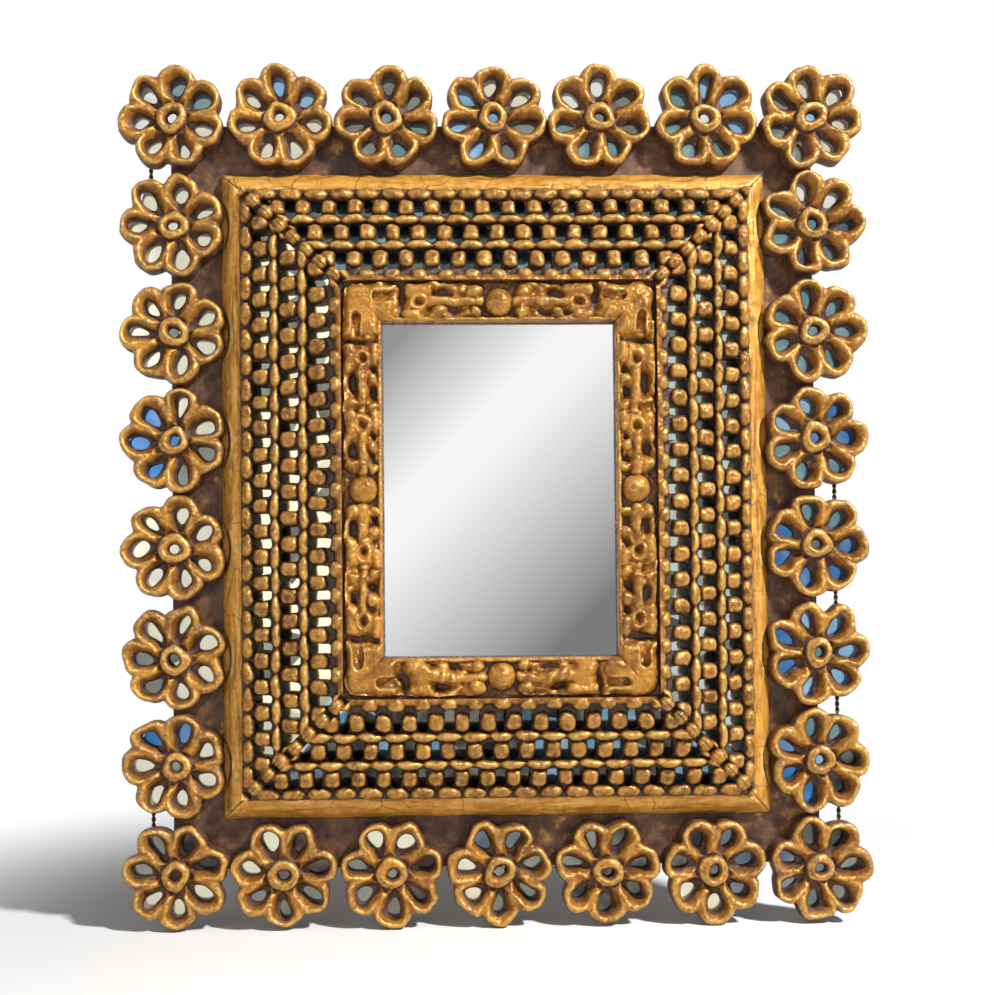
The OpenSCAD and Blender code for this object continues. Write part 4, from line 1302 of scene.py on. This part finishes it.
def makeCard():
    # a graded card behind the camera that only the mirrors see
    material, m, place = newMaterial("gradedCard")
    x, y, z = m.parts(place)
    stops = stagePlan["cardStops"]
    low, high = stops[0][0], stops[-1][0]
    where = m.node("ShaderNodeMapRange", None, {"Value": x - z, "From Min": low, "From Max": high})
    tones = [((s - low) / (high - low), colour(v, v, v)) for s, v in stops]
    ramp = m.node("ShaderNodeValToRGB", {"stops": tones}, {0: where})
    endMaterial(m, m.node("ShaderNodeEmission", None, {"Color": ramp, "Strength": 1.0}))
    (x1, x2), (z1, z2), y = stagePlan["cardX"], stagePlan["cardZ"], stagePlan["cardY"]
    corners = [(x1, y, z1), (x2, y, z1), (x2, y, z2), (x1, y, z2)]
    card = newObject("gradedCard", corners, [(0, 1, 2, 3)], material)
    card.visible_camera = False
    card.visible_diffuse = False
    card.visible_shadow = False


def makeWorld():
    world = bpy.data.worlds.new("studio")
    world.use_nodes = True
    world.node_tree.nodes.clear()
    w = Tree(world.node_tree)
    level = stagePlan["fill"] + seenRays(w) * (1.0 - stagePlan["fill"])
    back = w.node("ShaderNodeBackground", None, {"Color": white, "Strength": level})
    w.node("ShaderNodeOutputWorld", None, {"Surface": back})
    bpy.context.scene.world = world


def makeLamp(name, place, size, power):
    lamp = bpy.data.lights.new(name, "AREA")
    lamp.shape = "DISK"
    lamp.size = size
    lamp.energy = power
    holder = bpy.data.objects.new(name, lamp)
    holder.location = place
    # it faces the mirror's middle
    holder.rotation_euler = (-Vector(place)).to_track_quat("-Z", "Y").to_euler()
    bpy.context.scene.collection.objects.link(holder)


makeFloor()
makeCard()
makeWorld()
makeLamp("keyLamp", stagePlan["keyPlace"], stagePlan["keySize"], stagePlan["keyPower"])
makeLamp("sideLamp", stagePlan["sidePlace"], stagePlan["sideSize"], stagePlan["sidePower"])
print("stage set")


cameraPlan = {
    "place": (-0.0507, -0.700, -0.0560),
    "lens": 46.0,
    "sensor": 36.0,
    "shift": (0.068, 0.079),
    "rollYawPitch": (0.461, 1.24, -1.02),
    "clipStart": 0.01,
}


def turnAbout(axis, degrees):
    # a turn about x (0), y (1) or z (2)
    angle = math.radians(degrees)
    first, second = (axis + 1) % 3, (axis + 2) % 3
    turn = np.eye(3)
    turn[first, first] = turn[second, second] = math.cos(angle)
    turn[second, first] = math.sin(angle)
    turn[first, second] = -math.sin(angle)
    return turn


def makeCamera():
    roll, yaw, pitch = cameraPlan["rollYawPitch"]
    stand = np.array([[1, 0, 0], [0, 0, -1], [0, 1, 0]])    # from the flat drawing to the upright frame
    turn = stand @ (turnAbout(2, roll) @ turnAbout(0, pitch) @ turnAbout(1, yaw)).T
    camera = bpy.data.cameras.new("camera")
    camera.lens = cameraPlan["lens"]
    camera.sensor_width = cameraPlan["sensor"]
    camera.shift_x, camera.shift_y = cameraPlan["shift"]
    camera.clip_start = cameraPlan["clipStart"]
    holder = bpy.data.objects.new("camera", camera)
    holder.matrix_world = Matrix.Translation(cameraPlan["place"]) @ Matrix(turn.tolist()).to_4x4()
    bpy.context.scene.collection.objects.link(holder)
    bpy.context.scene.camera = holder


makeCamera()
bpy.context.scene.view_settings.view_transform = "Standard"
